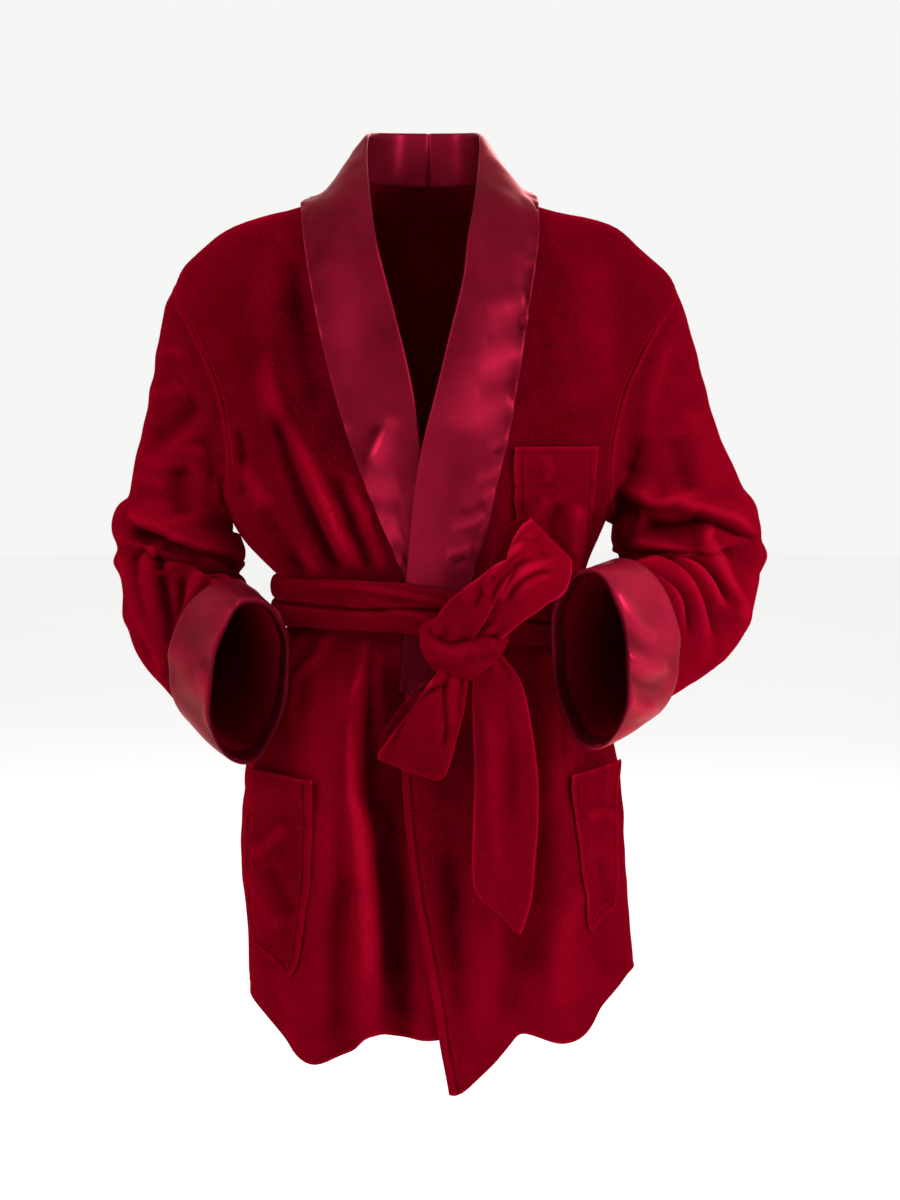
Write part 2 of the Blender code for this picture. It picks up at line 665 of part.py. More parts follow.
def ribbon(name, rows, shares=(-1, 0, 1), thickness=3.0):
    """A strip of doubled belt cloth: each row is a centre, a direction across and a half width."""
    points = []
    for x, y, z, ax, ay, az, half, bow in rows:
        across = unit((ax, ay, az))
        points.append([np.array((x, y - bow * (1 - s * s), z)) + across * half * s for s in shares])
    points = np.array(points, float)
    normals = grid_normals(points)
    return wall(name, points, normals, VELVET, 0.8, thickness)


ribbon("belt_loop_upper", (
    (60, -155.5, -420, -0.7, 0, 0.71, 14, 2), (70, -167.5, -403, -0.7, 0, 0.71, 20, 4),
    (84, -176, -386, -0.74, 0, 0.67, 26, 6), (97, -177, -367, -0.71, 0, 0.70, 30, 4),
    (104, -169, -350, -0.70, 0, 0.71, 30, 2), (106, -156, -343, -0.70, 0, 0.71, 30, 0),
    (98, -145, -348, -0.70, 0, 0.71, 30, 0), (83, -139.5, -362, -0.7, 0, 0.71, 26, 0),
    (73, -138.5, -378, -0.7, 0, 0.71, 20, 0), (66, -140.5, -392, -0.7, 0, 0.71, 17, 0),
))
ribbon("belt_loop_lower", (
    (24, -160.3, -466, -0.9, 0, 0.42, 15, 2), (15, -171, -484, -0.91, 0, 0.41, 20, 5),
    (3, -176, -508, -0.92, 0, 0.39, 25, 6), (-8, -174, -530, -0.94, 0, 0.34, 29, 4),
    (-14, -166, -543, -0.95, 0, 0.31, 31, 2), (-15, -156, -543, -0.95, 0, 0.31, 31, 0),
    (-11, -150, -528, -0.94, 0, 0.36, 29, 0), (0, -149, -504, -0.91, 0, 0.41, 25, 0),
    (13, -150.3, -486, -0.9, 0, 0.42, 19, 0),
))
ribbon("belt_end_short", (
    (24, -169.3, -420, -0.62, 0, 0.78, 17, 2), (38, -178.3, -405, -0.64, 0, 0.77, 19, 3),
    (54, -185.3, -388, -0.68, 0, 0.73, 18, 3), (68, -188.3, -372, -0.7, 0, 0.71, 12, 2),
    (80, -190.3, -358, -0.72, 0, 0.69, 3, 0),
))
ribbon("belt_end_long", (
    (63, -154, -473.5, -1, 0, 0.08, 20, 2), (66, -160, -502.5, -1, 0, 0.03, 25, 2),
    (70, -163, -547.5, -1, 0, 0, 27, 2), (70, -165, -592.5, -1, 0, 0, 28, 2),
    (68, -166, -632.5, -1, 0, 0, 27, 2), (69, -166, -658.5, -1, 0, 0.06, 24, 1),
    (76, -166, -678.5, -1, 0, 0.3, 12, 0), (81, -166, -692.5, -1, 0, 0.4, 2.5, 0),
))
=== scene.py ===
"""Smoking jacket of deep red velvet with a satin shawl collar, satin cuffs and its own tied belt.

Surfaces are worked out in millimetres and turned to metres where the meshes are made.
"""

import math

import bpy
import numpy as np
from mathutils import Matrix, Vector


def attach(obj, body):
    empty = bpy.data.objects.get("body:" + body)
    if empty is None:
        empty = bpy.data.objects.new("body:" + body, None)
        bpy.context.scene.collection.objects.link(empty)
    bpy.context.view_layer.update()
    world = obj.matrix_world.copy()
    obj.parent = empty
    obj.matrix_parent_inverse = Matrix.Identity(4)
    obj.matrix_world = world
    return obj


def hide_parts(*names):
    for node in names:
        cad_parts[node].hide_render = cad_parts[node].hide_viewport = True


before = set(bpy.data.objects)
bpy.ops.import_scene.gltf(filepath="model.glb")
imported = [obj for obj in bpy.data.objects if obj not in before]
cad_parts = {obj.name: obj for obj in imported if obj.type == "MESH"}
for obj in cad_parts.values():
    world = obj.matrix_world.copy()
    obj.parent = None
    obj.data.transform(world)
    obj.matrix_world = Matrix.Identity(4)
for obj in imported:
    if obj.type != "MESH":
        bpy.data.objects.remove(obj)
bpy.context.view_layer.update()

# The room: a pale floor and a pale sky, two wide soft lamps, and the camera a little above the
# chest looking slightly down, as the photograph was taken.
EYE = np.array((21.0, -1488.8, -233.2))
PITCH = math.radians(7)
FOCAL = 1545.0
camera = bpy.data.objects.new("camera", bpy.data.cameras.new("camera"))
camera.location = EYE / 1000
camera.rotation_euler = (math.pi / 2 - PITCH, 0, 0)
camera.data.sensor_width = 36
camera.data.lens = 36 * FOCAL / 1200
bpy.context.scene.collection.objects.link(camera)
bpy.context.scene.camera = camera
bpy.context.scene.view_settings.view_transform = "Standard"

sky = bpy.data.worlds.new("pale_room")
sky.use_nodes = True
sky.node_tree.nodes["Background"].inputs["Color"].default_value = (1.0, 1.0, 0.99, 1)
sky.node_tree.nodes["Background"].inputs["Strength"].default_value = 0.92
bpy.context.scene.world = sky


def lamp(name, place, width, height, power):
    light = bpy.data.lights.new(name, "AREA")
    light.shape = "RECTANGLE"
    light.size = width
    light.size_y = height
    light.energy = power
    made = bpy.data.objects.new(name, light)
    made.location = place
    made.rotation_euler = (Vector((0, 0, -0.42)) - Vector(place)).to_track_quat("-Z", "Y").to_euler()
    bpy.context.scene.collection.objects.link(made)


lamp("window_left", (-2.1, -1.2, 1.1), 0.8, 1.0, 30)
lamp("window_right", (2.2, -1.3, 0.8), 0.8, 1.1, 48)
lamp("back_wall", (0.4, 2.4, 1.2), 1.6, 1.2, 30)

FLOOR = -1.45
FLOOR_REACH = 12
FLOOR_SIDES = 96
floor_mesh = bpy.data.meshes.new("floor")
turns = np.linspace(0, 2 * math.pi, FLOOR_SIDES + 1)[:-1]
rim = [(FLOOR_REACH * math.cos(t), FLOOR_REACH * math.sin(t), FLOOR) for t in turns]
floor_mesh.from_pydata(rim, [], [tuple(range(FLOOR_SIDES))])
floor = bpy.data.objects.new("floor", floor_mesh)
bpy.context.scene.collection.objects.link(floor)


class Thread:
    """One value in a material's nodes; sums and products of it add Math nodes."""

    def __init__(self, tree, socket=None):
        self.tree = tree
        self.socket = socket

    def node(self, kind, settings, inputs, out=0):
        made = self.tree.nodes.new(kind)
        for key, value in settings.items():
            setattr(made, key, value)
        for key, value in inputs.items():
            if isinstance(value, Thread):
                self.tree.links.new(value.socket, made.inputs[key])
            else:
                made.inputs[key].default_value = value
        return Thread(self.tree, made.outputs[out])

    def maths(self, operation, a, b):
        return self.node("ShaderNodeMath", {"operation": operation}, {0: a, 1: b})

    def __add__(self, other):
        return self.maths("ADD", self, other)

    def __radd__(self, other):
        return self.maths("ADD", other, self)

    def __sub__(self, other):
        return self.maths("SUBTRACT", self, other)

    def __rsub__(self, other):
        return self.maths("SUBTRACT", other, self)

    def __mul__(self, other):
        return self.maths("MULTIPLY", self, other)

    def __rmul__(self, other):
        return self.maths("MULTIPLY", other, self)

    def within(self):
        return self.node("ShaderNodeClamp", {}, {0: self, 1: 0.0, 2: 1.0})

    def blend(self, a, b):
        """Colour a where the value is 0, b where it is 1."""
        return self.node("ShaderNodeMix", {"data_type": "RGBA"}, {0: self, 6: a, 7: b}, 2)

    def grain(self, scale, detail=2.0, rough=0.5, vector=None):
        inputs = {"Scale": scale, "Detail": detail, "Roughness": rough}
        inputs["Vector"] = vector or self.place()
        return self.node("ShaderNodeTexNoise", {}, inputs)

    def place(self):
        return self.node("ShaderNodeTexCoord", {}, {}, "Object")

    def feed(self, name):
        """Leads the value to one input of the material's shader."""
        shader = self.tree.nodes["Principled BSDF"]
        self.tree.links.new(self.socket, shader.inputs[name])


def start_cloth(name, constants):
    """A new material with the values that are the same all over it, and the start of its nodes."""
    made = bpy.data.materials.new(name)
    made.use_nodes = True
    for key, value in constants.items():
        made.node_tree.nodes["Principled BSDF"].inputs[key].default_value = value
    return made, Thread(made.node_tree)


pale, here = start_cloth("pale_floor", {"Roughness": 1.0, "Specular IOR Level": 0.0})
here.grain(0.8).blend((0.955, 0.955, 0.95, 1), (0.975, 0.975, 0.97, 1)).feed("Base Color")
floor_mesh.materials.append(pale)

# The fronts: two velvet panels, each cut in one from shoulder to hem, the left lapped over the
# right and held there by the belt. The free edges and the hem are turned in and topstitched.
LAP = 5.0
UNDERARM = -338.0
SHOULDER = -112.0
SKIRT_TOP = -560.0
HEM = -810.0
PAST_HEM = -980.0
HEM_DEPTH = 30.0
TOPSTITCH = 9.0
GIRTH_RADIUS = 165.0
BELT_HEIGHT = -414.0
INSIDE = (0, 0, -400)

# z, right half width, left half width, front depth, back depth, squareness
LEVELS = np.array((
    (0, 50, 50, 30, 50, 2.0),
    (-18, 66, 64, 45, 64, 2.0),
    (-28, 80, 77, 54, 72, 2.0),
    (-40, 101, 96, 64, 81, 2.0),
    (-50, 132, 124, 72, 88, 2.05),
    (-62, 177, 167, 80, 94, 2.1),
    (-84, 211, 198, 90, 100, 2.2),
    (-112, 234, 229, 99, 105, 2.3),
    (-160, 229, 222, 109, 110, 2.4),
    (-210, 212, 201, 116, 111, 2.4),
    (-260, 204, 189, 120, 107, 2.4),
    (-300, 199, 183, 121, 102, 2.4),
    (-338, 187, 170, 119, 97, 2.35),
    (-368, 166, 158, 115, 93, 2.3),
    (-390, 143, 150, 110, 89, 2.3),
    (-410, 130, 146, 106, 87, 2.3),
    (-430, 130, 148, 107, 88, 2.3),
    (-460, 150, 162, 114, 96, 2.3),
    (-505, 160, 168, 123, 108, 2.35),
    (-545, 170, 172, 129, 116, 2.4),
    (-600, 179, 182, 134, 124, 2.4),
    (-665, 185, 187, 138, 130, 2.4),
    (-735, 180, 192, 141, 133, 2.4),
    (-800, 178, 198, 143, 135, 2.4),
    (-860, 176, 200, 144, 136, 2.4),
), float)

# angle and height at the top, angle and height at the bottom, half width, height of the fold
FOLDS = (
    (-74, -290, -58, -384, 12, 5.0),
    (-54, -240, -26, -386, 14, 5.0),
    (-66, -300, -42, -388, 11, -4.0),
    (48, -280, 58, -386, 15, 4.5),
    (66, -290, 76, -384, 12, -4.0),
    (-60, -440, -66, -600, 15, 5.0),
    (-43, -440, -38, -815, 19, 6.5),
    (-24, -440, -22, -815, 13, 7.0),
    (-10, -445, -8, -820, 20, -11.0),
    (-33, -470, -31, -815, 10, -5.0),
    (-80, -560, -78, -815, 16, -5.0),
    (24, -520, 14, -830, 22, 5.0),
    (34, -470, 34, -820, 17, -6.0),
    (46, -450, 46, -820, 15, 5.5),
    (66, -445, 62, -820, 18, -5.0),
    (82, -450, 82, -820, 16, 6.0),
    (106, -445, 104, -820, 18, -6.0),
    (128, -440, 128, -820, 20, 6.0),
    (152, -440, 150, -820, 19, -6.5),
    (176, -440, 176, -820, 20, 6.0),
    (200, -440, 202, -820, 19, -6.5),
    (226, -440, 226, -820, 20, 6.0),
    (252, -440, 252, -820, 18, -5.5),
    (134, -210, 160, -386, 17, -5.0),
    (226, -210, 200, -386, 17, -5.0),
    (110, -290, 124, -386, 14, 5.0),
    (250, -290, 236, -386, 14, 5.0),
    (180, -250, 180, -388, 18, 4.0),
)

# angle, height of the hem edge
HEM_RIGHT = np.array((
    (-92, -797), (-71, -789), (-51, -813), (-40, -830), (-29, -818), (-20, -800),
    (-7, -806), (10, -800), (30, -798),
), float)
HEM_LEFT = np.array((
    (-14, -838), (4, -846), (11, -849), (17, -835), (24, -819), (32, -801), (45, -812),
    (53, -810), (61, -794), (72, -778), (92, -774),
), float)
HEM_BACK = np.array((
    (88, -774), (120, -798), (150, -806), (180, -800), (210, -806), (240, -800), (272, -797),
), float)

# height, angle of the free edge of the right front, of the left front
EDGES = np.array((
    (-18, -83, 83), (-27, -66, 66), (-38, -55, 55), (-50, -47, 46), (-64, -40, 39),
    (-86, -32, 30), (-112, -25, 23.5), (-136, -20.5, 19), (-165, -16, 15), (-198, -11.5, 10.8),
    (-232, -8.2, 6.2), (-266, -6, 2.2), (-300, -3.5, -0.8), (-322, -1, -2), (-338, 1.5, -2.8),
    (-354, 4, -3.6), (-371, 7, -4.6), (-388, 10, -5.6), (-404, 12.5, -6.4), (-420, 14.5, -7),
    (-436, 15.5, -7.2), (-454, 16, -7.2), (-480, 16.5, -7.6), (-520, 17, -10.4),
    (-565, 17, -10.6), (-608, 17, -7.2), (-652, 16.5, -3.8), (-690, 16.5, -0.8),
    (-722, 16, 1.6), (-745, 16, 3.4), (-775, 16, 5.6), (-810, 16, 8.4), (-860, 16, 10),
), float)

# height, angle of the armhole seam at the front and at the back
ARMHOLES = np.array((
    (-112, 90, 90), (-136, 82, 98), (-165, 76.2, 103), (-198, 73, 106), (-232, 70.5, 108),
    (-266, 69.2, 109), (-300, 70.5, 108.5), (-322, 76.5, 103), (-338, 90, 90),
), float)

# angle, height of the middle of the belt
WAIST = np.array((
    (-180, -415), (-135, -414), (-90, -412), (-60, -410), (-33, -407), (-12, -408), (10, -415),
    (40, -421), (60, -426), (90, -430), (135, -424), (180, -415),
), float)


def glide(x, xs, ys):
    """Smooth curve through the points of a table, held level past both ends."""
    xs = np.asarray(xs, float)
    ys = np.asarray(ys, float)
    if xs[0] > xs[-1]:
        xs, ys = xs[::-1], ys[::-1]
    slopes = np.gradient(ys, xs)
    x = np.clip(x, xs[0], xs[-1])
    i = np.clip(np.searchsorted(xs, x, side="right") - 1, 0, len(xs) - 2)
    h = xs[i + 1] - xs[i]
    t = (x - xs[i]) / h
    a = ys[i] * (1 + 2 * t) + h * slopes[i] * t
    b = ys[i + 1] * (3 - 2 * t) + h * slopes[i + 1] * (t - 1)
    return a * (1 - t) ** 2 + b * t ** 2


def ease(x, start, end):
    """Goes smoothly from 0 at start to 1 at end."""
    t = np.clip((x - start) / (end - start), 0, 1)
    return t * t * (3 - 2 * t)


def bell(x, width):
    """Is 1 at 0 and falls away smoothly on both sides."""
    return np.exp(-(x / width) ** 2)


def unit(v):
    v = np.asarray(v, float)
    return v / np.maximum(np.linalg.norm(v, axis=-1, keepdims=True), 1e-9)


def fold_height(phi, z):
    """Height of the cloth's large folds at an angle and a height."""
    total = np.zeros(np.broadcast(phi, z).shape)
    for top_phi, top_z, low_phi, low_z, half, height in FOLDS:
        t = np.clip((z - top_z) / (low_z - top_z), 0, 1)
        middle = top_phi + (low_phi - top_phi) * t
        away = (phi - middle + 180) % 360 - 180
        foot = PAST_HEM if low_z < -700 else low_z - 8
        ends = ease(z, top_z, top_z - 45) * ease(z, foot, low_z + 22)
        total = total + height * bell(away * math.radians(GIRTH_RADIUS), half) * ends
    return total * (1 - 0.85 * bell(z - BELT_HEIGHT, 22))


def torso(phi, z):
    """Point of the body surface of the jacket, folds included."""
    phi, z = np.broadcast_arrays(np.asarray(phi, float), np.asarray(z, float))
    s, c = np.sin(np.radians(phi)), np.cos(np.radians(phi))
    levels = LEVELS[:, 0]
    wide = np.where(s < 0, glide(z, levels, LEVELS[:, 1]), glide(z, levels, LEVELS[:, 2]))
    deep = np.where(c > 0, glide(z, levels, LEVELS[:, 3]), glide(z, levels, LEVELS[:, 4]))
    n = glide(z, levels, LEVELS[:, 5])
    r = ((np.abs(s) / wide) ** n + (np.abs(c) / deep) ** n) ** (-1 / n) + fold_height(phi, z)
    return np.stack((r * s, -r * c, z), -1)


def torso_normal(phi, z):
    a = torso(phi + 1.5, z) - torso(phi - 1.5, z)
    b = torso(phi, z + 4) - torso(phi, z - 4)
    return unit(np.cross(a, b))


def overlap(side, phi, z):
    """How far a front stands off the body where the two fronts lie over each other."""
    return side * LAP * (1 - ease(np.abs(phi), 22, 48)) * ease(z, -60, -130)


def front_point(side, phi, z, off=0.0):
    lift = np.expand_dims(overlap(side, phi, z) + off, -1)
    return torso(phi, z) + torso_normal(phi, z) * lift


def edge_angle(side, z):
    return glide(z, EDGES[:, 0], EDGES[:, 1 if side < 0 else 2])


def hem_height(side, phi, z):
    """Moves the rows of the skirt so that the last one follows the hem."""
    table = HEM_BACK if side == 0 else HEM_RIGHT if side < 0 else HEM_LEFT
    low = glide(phi, table[:, 0], table[:, 1])
    moved = SKIRT_TOP + (z - SKIRT_TOP) * (low - SKIRT_TOP) / (HEM - SKIRT_TOP)
    return np.where(z < SKIRT_TOP, moved, z)


def pixels(points):
    """Where points fall in the photograph's 900 by 1200 frame."""
    away = points - EYE
    depth = away[..., 1] * math.cos(PITCH) - away[..., 2] * math.sin(PITCH)
    rise = away[..., 1] * math.sin(PITCH) + away[..., 2] * math.cos(PITCH)
    return 450 + FOCAL * away[..., 0] / depth, 600 - FOCAL * rise / depth


def drawn_folds_and_light(points, normals, lines):
    """Height of folds drawn over the photograph, on the cloth that faces it.

    Each is a height, a half width to the left and to the right of the line as seen when
    it is drawn downwards, and the line. Heights and widths are in millimetres.
    """
    # lists of painted light and shade are drawn the same way; their height is then an amount of light
    shown = ease((normals * unit(EYE - points)).sum(-1), 0.02, 0.28)
    u, v = pixels(points)
    total = np.zeros(u.shape)
    for height, left, right, line in lines:
        line = np.array(line, float)
        turn = np.linspace(0, len(line) - 1, 6 * (len(line) - 1) + 1)
        index = np.arange(len(line))
        path = np.stack((glide(turn, index, line[:, 0]), glide(turn, index, line[:, 1])), -1)
        reach = 2.6 * max(left, right)
        low, high = path.min(0) - reach, path.max(0) + reach
        near = (shown > 0) & (u > low[0]) & (u < high[0]) & (v > low[1]) & (v < high[1])
        if not near.any():
            continue
        spots = np.stack((u[near], v[near]), -1)[:, None]
        start, way = path[:-1], np.diff(path, axis=0)
        share = ((spots - start) * way).sum(-1) / np.maximum((way ** 2).sum(-1), 1e-9)
        share = np.clip(share, 0, 1)
        off = spots - (start + way * share[..., None])
        far = np.sqrt((off ** 2).sum(-1))
        best = far.argmin(1)
        rows = np.arange(len(best))
        off, way = off[rows, best], way[best]
        wide = np.where(way[:, 0] * off[:, 1] - way[:, 1] * off[:, 0] > 0, left, right)
        along = (best + share[rows, best]) / len(start)
        taper = ease(along, 0, 0.2) * ease(1 - along, 0, 0.2)
        total[near] += height * bell(far[rows, best], wide) * taper
    return total * shown


def waver(points, seed, length, height):
    """Slight unevenness of hanging cloth, the same on both sides of a seam."""
    rng = np.random.default_rng(seed)
    total = 0
    for _ in range(7):
        way = unit(rng.normal(size=3)) * (2 * math.pi / length * rng.uniform(0.7, 1.5))
        total = total + np.sin(points @ way + rng.uniform(0, 6.3))
    return total * height / 2.6


def grid_normals(points, closed=False):
    down = np.gradient(points, axis=0)
    if closed:
        across = np.roll(points, -1, 1) - np.roll(points, 1, 1)
    else:
        across = np.gradient(points, axis=1)
    return unit(np.cross(across, down))


def facing(points, inside=None, rows=None):
    """Normals of a grid that point away from a place inside.

    Without that place the grid is a tube, and they point away from the middle of each ring.
    """
    closed = inside is None
    n = grid_normals(points, closed)
    away = points - (points.mean(1, keepdims=True) if closed else np.array(inside))
    return n if (away * n)[:rows].sum() > 0 else -n


def crest(points, normals, reach=2, closed=False):
    """How far the cloth bulges there: above 0 along a ridge, below 0 in a crease."""
    total = np.zeros(points.shape[:2])
    for axis in (0, 1):
        ahead, behind = np.roll(points, -reach, axis), np.roll(points, reach, axis)
        gap = np.linalg.norm(ahead - points, axis=-1) * np.linalg.norm(behind - points, axis=-1)
        rise = ((points - (ahead + behind) / 2) * normals).sum(-1) / np.maximum(gap, 4.0)
        if axis == 0 or not closed:
            ends = [slice(None), slice(None)]
            for end in (slice(0, reach), slice(-reach, None)):
                ends[axis] = end
                rise[tuple(ends)] = 0
        total = total + rise
    return np.clip(total, -0.075, 0.075)


def spans(points, axis=1):
    """Distance run along each line of a grid, from its start."""
    step = np.linalg.norm(np.diff(points, axis=axis), axis=-1)
    start = np.zeros_like(step[:, :1] if axis == 1 else step[:1])
    return np.concatenate((start, np.cumsum(step, axis)), axis)


def gathered(count, pull=0.8):
    """Shares from 0 to 1 that lie closer together near both ends."""
    t = np.linspace(0, 1, count)
    return t - pull * np.sin(2 * math.pi * t) / (2 * math.pi)


def fix_on(name, points, faces, material, painted_light=None):
    """Makes a piece from its points in millimetres and its faces, and fixes it to the jacket."""
    mesh = bpy.data.meshes.new(name)
    mesh.from_pydata((points / 1000).tolist(), [], faces)
    mesh.polygons.foreach_set("use_smooth", np.ones(len(faces), bool))
    # the painted light and shade of each point, kept for the materials to turn into colour
    if painted_light is not None:
        kept = mesh.attributes.new("painted_light", "FLOAT", "POINT")
        kept.data.foreach_set("value", np.clip(painted_light, 0, 1).ravel().astype(np.float32))
    mesh.materials.append(material)
    made = bpy.data.objects.new(name, mesh)
    bpy.context.scene.collection.objects.link(made)
    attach(made, "root")
    return made


def grid_faces(rows, columns, ring=False, loop=False):
    """Faces of a grid, whose rows may be rings and whose last row may join the first."""
    index = np.arange(rows * columns).reshape(rows, columns)
    wide = np.pad(index, ((0, int(loop)), (0, int(ring))), mode="wrap")
    corners = (wide[:-1, :-1], wide[:-1, 1:], wide[1:, 1:], wide[1:, :-1])
    return np.stack(corners, -1).reshape(-1, 4)


def faces_out(faces, points, normals):
    """Whether faces turn their front the way that the normals point."""
    a, b, d = faces[:, 0], faces[:, 1], faces[:, 3]
    way = np.cross(points[b] - points[a], points[d] - points[a])
    return (way * normals.reshape(-1, 3)[a]).sum() > 0


def shell(name, middle, normals, painted_light, material, thick=2.0, closed=False):
    """A wall of cloth about a grid of points, with rounded edges."""
    rows, columns = middle.shape[:2]
    count = rows * columns
    half = (normals * (np.broadcast_to(thick, (rows, columns)) / 2)[..., None]).reshape(-1, 3)
    index = np.arange(count).reshape(rows, columns)
    outward = np.zeros((rows, columns, 3))
    outward[0] += unit(middle[0] - middle[1])
    outward[-1] += unit(middle[-1] - middle[-2])
    if closed:
        edges = [index[0], np.roll(index[-1, ::-1], 1)]
    else:
        outward[:, 0] += unit(middle[:, 0] - middle[:, 1])
        outward[:, -1] += unit(middle[:, -1] - middle[:, -2])
        edges = [np.concatenate((index[0, :-1], index[:-1, -1], index[-1, :0:-1], index[:0:-1, 0]))]
    outward = unit(outward).reshape(-1, 3)
    flat = middle.reshape(-1, 3)
    faces = grid_faces(rows, columns, closed)
    points = [flat + half, flat - half]
    quads = [faces, faces[:, ::-1] + count]
    size = 2 * count
    for edge in edges:
        reach = np.linalg.norm(half[edge], axis=-1, keepdims=True)
        points.append(flat[edge] + outward[edge] * reach * 0.75)
        rim = size + np.arange(len(edge))
        size += len(edge)
        after, rim_after = np.roll(edge, -1), np.roll(rim, -1)
        quads.append(np.stack((after, edge, rim, rim_after), -1))
        quads.append(np.stack((rim_after, rim, edge + count, after + count), -1))
    quads = np.concatenate(quads)
    if not faces_out(faces, points[0], normals):
        quads = quads[:, ::-1]
    # painted light and shade: the outer face's own values, fixed ones for the inner face and the rims
    tone = np.concatenate((painted_light.ravel(), np.full(count, 0.3), np.full(size - 2 * count, 0.5)))
    return fix_on(name, np.concatenate(points), quads.tolist(), material, tone)


# Velvet colour: a painted shade red and a painted lit red, mixed by the painted light and shade stored on
# each piece and by random tone of the pile; a painted highlight red takes over where the stored light is
# highest.
SHADED_RED = (0.022, 0.0, 0.001, 1)
LIT_RED = (0.225, 0.0004, 0.009, 1)
HIGHLIGHT_RED = (0.42, 0.003, 0.022, 1)
velvet, here = start_cloth("red_velvet", {
    "Specular IOR Level": 0.0,
    "Sheen Weight": 0.26,
    "Sheen Roughness": 0.4,
    "Sheen Tint": (1.0, 0.002, 0.04, 1),
})
painted_light = here.node("ShaderNodeAttribute", {"attribute_name": "painted_light"}, {}, "Fac")
brushed = here.grain(11, 4, 0.6)
mottled = here.grain(95, 3, 0.6)
pile = here.grain(900, 2, 0.7)
tufts = here.grain(480, 2, 0.65)
tone = painted_light + (brushed - 0.5) * 0.45 + (mottled - 0.5) * 0.12
tone = tone + (tufts - 0.5) * 0.5 + (pile - 0.5) * 0.7
colour = tone.within().blend(SHADED_RED, LIT_RED)
# painted highlight where the stored light passes 0.72, broken by the pile speckle
((painted_light - 0.72) * 2.4 + (pile - 0.5) * 0.4).within().blend(colour, HIGHLIGHT_RED).feed("Base Color")
(0.86 + (mottled - 0.5) * 0.16).feed("Roughness")
raised = pile * 0.4 + tufts * 0.4 + mottled * 0.3
here.node("ShaderNodeBump", {}, {"Strength": 0.4, "Distance": 0.0008, "Height": raised}).feed("Normal")

sewing, here = start_cloth("red_thread", {"Roughness": 0.8, "Specular IOR Level": 0.05})
here.grain(2500, 1).blend((0.10, 0.0008, 0.005, 1), (0.24, 0.003, 0.015, 1)).feed("Base Color")

STITCH_PITCH = 3.4
STITCH_LENGTH = 2.4
THREAD_RADIUS = 0.36
# share of a stitch's length, share of the thread's radius, height over the cloth
STITCH_RINGS = ((0, 0.35, -0.35), (0.25, 1, 0.12), (0.75, 1, 0.12), (1, 0.35, -0.35))
THREAD_SIDES = 5


def stitches(name, path, out):
    """A row of short thread stitches lying along a path on the cloth."""
    run = spans(path[None])[0]

    def at(place, values):
        return np.array([np.interp(place, run, values[:, i]) for i in range(3)])
    points, faces = [], []
    last = len(STITCH_RINGS) * THREAD_SIDES
    ends = [range(THREAD_SIDES - 1, -1, -1), range(last - THREAD_SIDES, last)]
    sides = grid_faces(len(STITCH_RINGS), THREAD_SIDES, ring=True).tolist()
    for start in np.arange(STITCH_PITCH, run[-1] - STITCH_PITCH, STITCH_PITCH):
        faces += [[len(points) + k for k in face] for face in sides + ends]
        a, b, n = at(start, path), at(start + STITCH_LENGTH, path), unit(at(start, out))
        sideways = np.cross(unit(b - a), n)
        for share, radius, sink in STITCH_RINGS:
            centre = a + (b - a) * share + n * sink
            for t in np.arange(THREAD_SIDES) * 2 * math.pi / THREAD_SIDES:
                way = sideways * math.cos(t) + n * math.sin(t)
                points.append(centre + way * THREAD_RADIUS * radius)
    return fix_on(name, np.array(points), faces, sewing)


RIGHT_FRONT_FOLDS = (
    (5.0, 13, 8, ((262, 340), (269, 386), (284, 426), (308, 467), (327, 506), (347, 547), (372, 590))),
    (4.5, 12, 7, ((243, 455), (249, 477), (269, 506), (291, 538), (314, 562), (335, 592))),
    (-4.5, 8, 11, ((272, 400), (284, 441), (299, 491), (321, 538), (345, 592))),
    (-4.0, 8, 10, ((262, 500), (277, 521), (291, 547), (312, 592))),
    (-3.5, 8, 9, ((330, 470), (343, 506), (358, 547), (375, 592))),
    (2.5, 7, 7, ((352, 490), (366, 519), (388, 585))),
    (-3.0, 7, 9, ((235, 420), (243, 469), (247, 500))),
    (2.0, 14, 16, ((270, 240), (262, 300), (266, 350))),
    (-2.0, 16, 18, ((300, 250), (300, 330), (318, 420))),
    (3.5, 5, 6, ((340, 606), (319, 656), (296, 682), (293, 740))),
    (2.5, 5, 5, ((303, 606), (300, 640), (285, 672))),
    (3.5, 6, 4, ((368, 600), (368, 640), (367, 666), (358, 708))),
    (5.0, 16, 4, ((366, 640), (358, 708), (357, 784), (365, 830), (371, 896), (374, 960), (375, 1090))),
    (-4.0, 3.5, 14, ((376, 640), (367, 708), (366, 784), (375, 830), (381, 896), (384, 960), (385, 1090))),
    (3.0, 10, 12, ((341, 640), (339, 699), (332, 764), (330, 850), (326, 940))),
    (3.0, 5, 5, ((378, 606), (375, 633), (380, 700), (384, 760))),
    (-3.0, 4, 5, ((372, 606), (373, 640), (371, 680))),
    (1.5, 2.5, 2.5, ((355, 880), (348, 961), (342, 1070))),
    (-2.5, 10, 12, ((345, 860), (338, 960), (335, 1060))),
    (2.5, 12, 12, ((285, 960), (295, 1010), (305, 1070))),
    (2.0, 10, 14, ((400, 800), (412, 900), (418, 1000), (420, 1060))),
    (-3.0, 8, 14, ((385, 760), (392, 860), (400, 960), (405, 1060))),
)
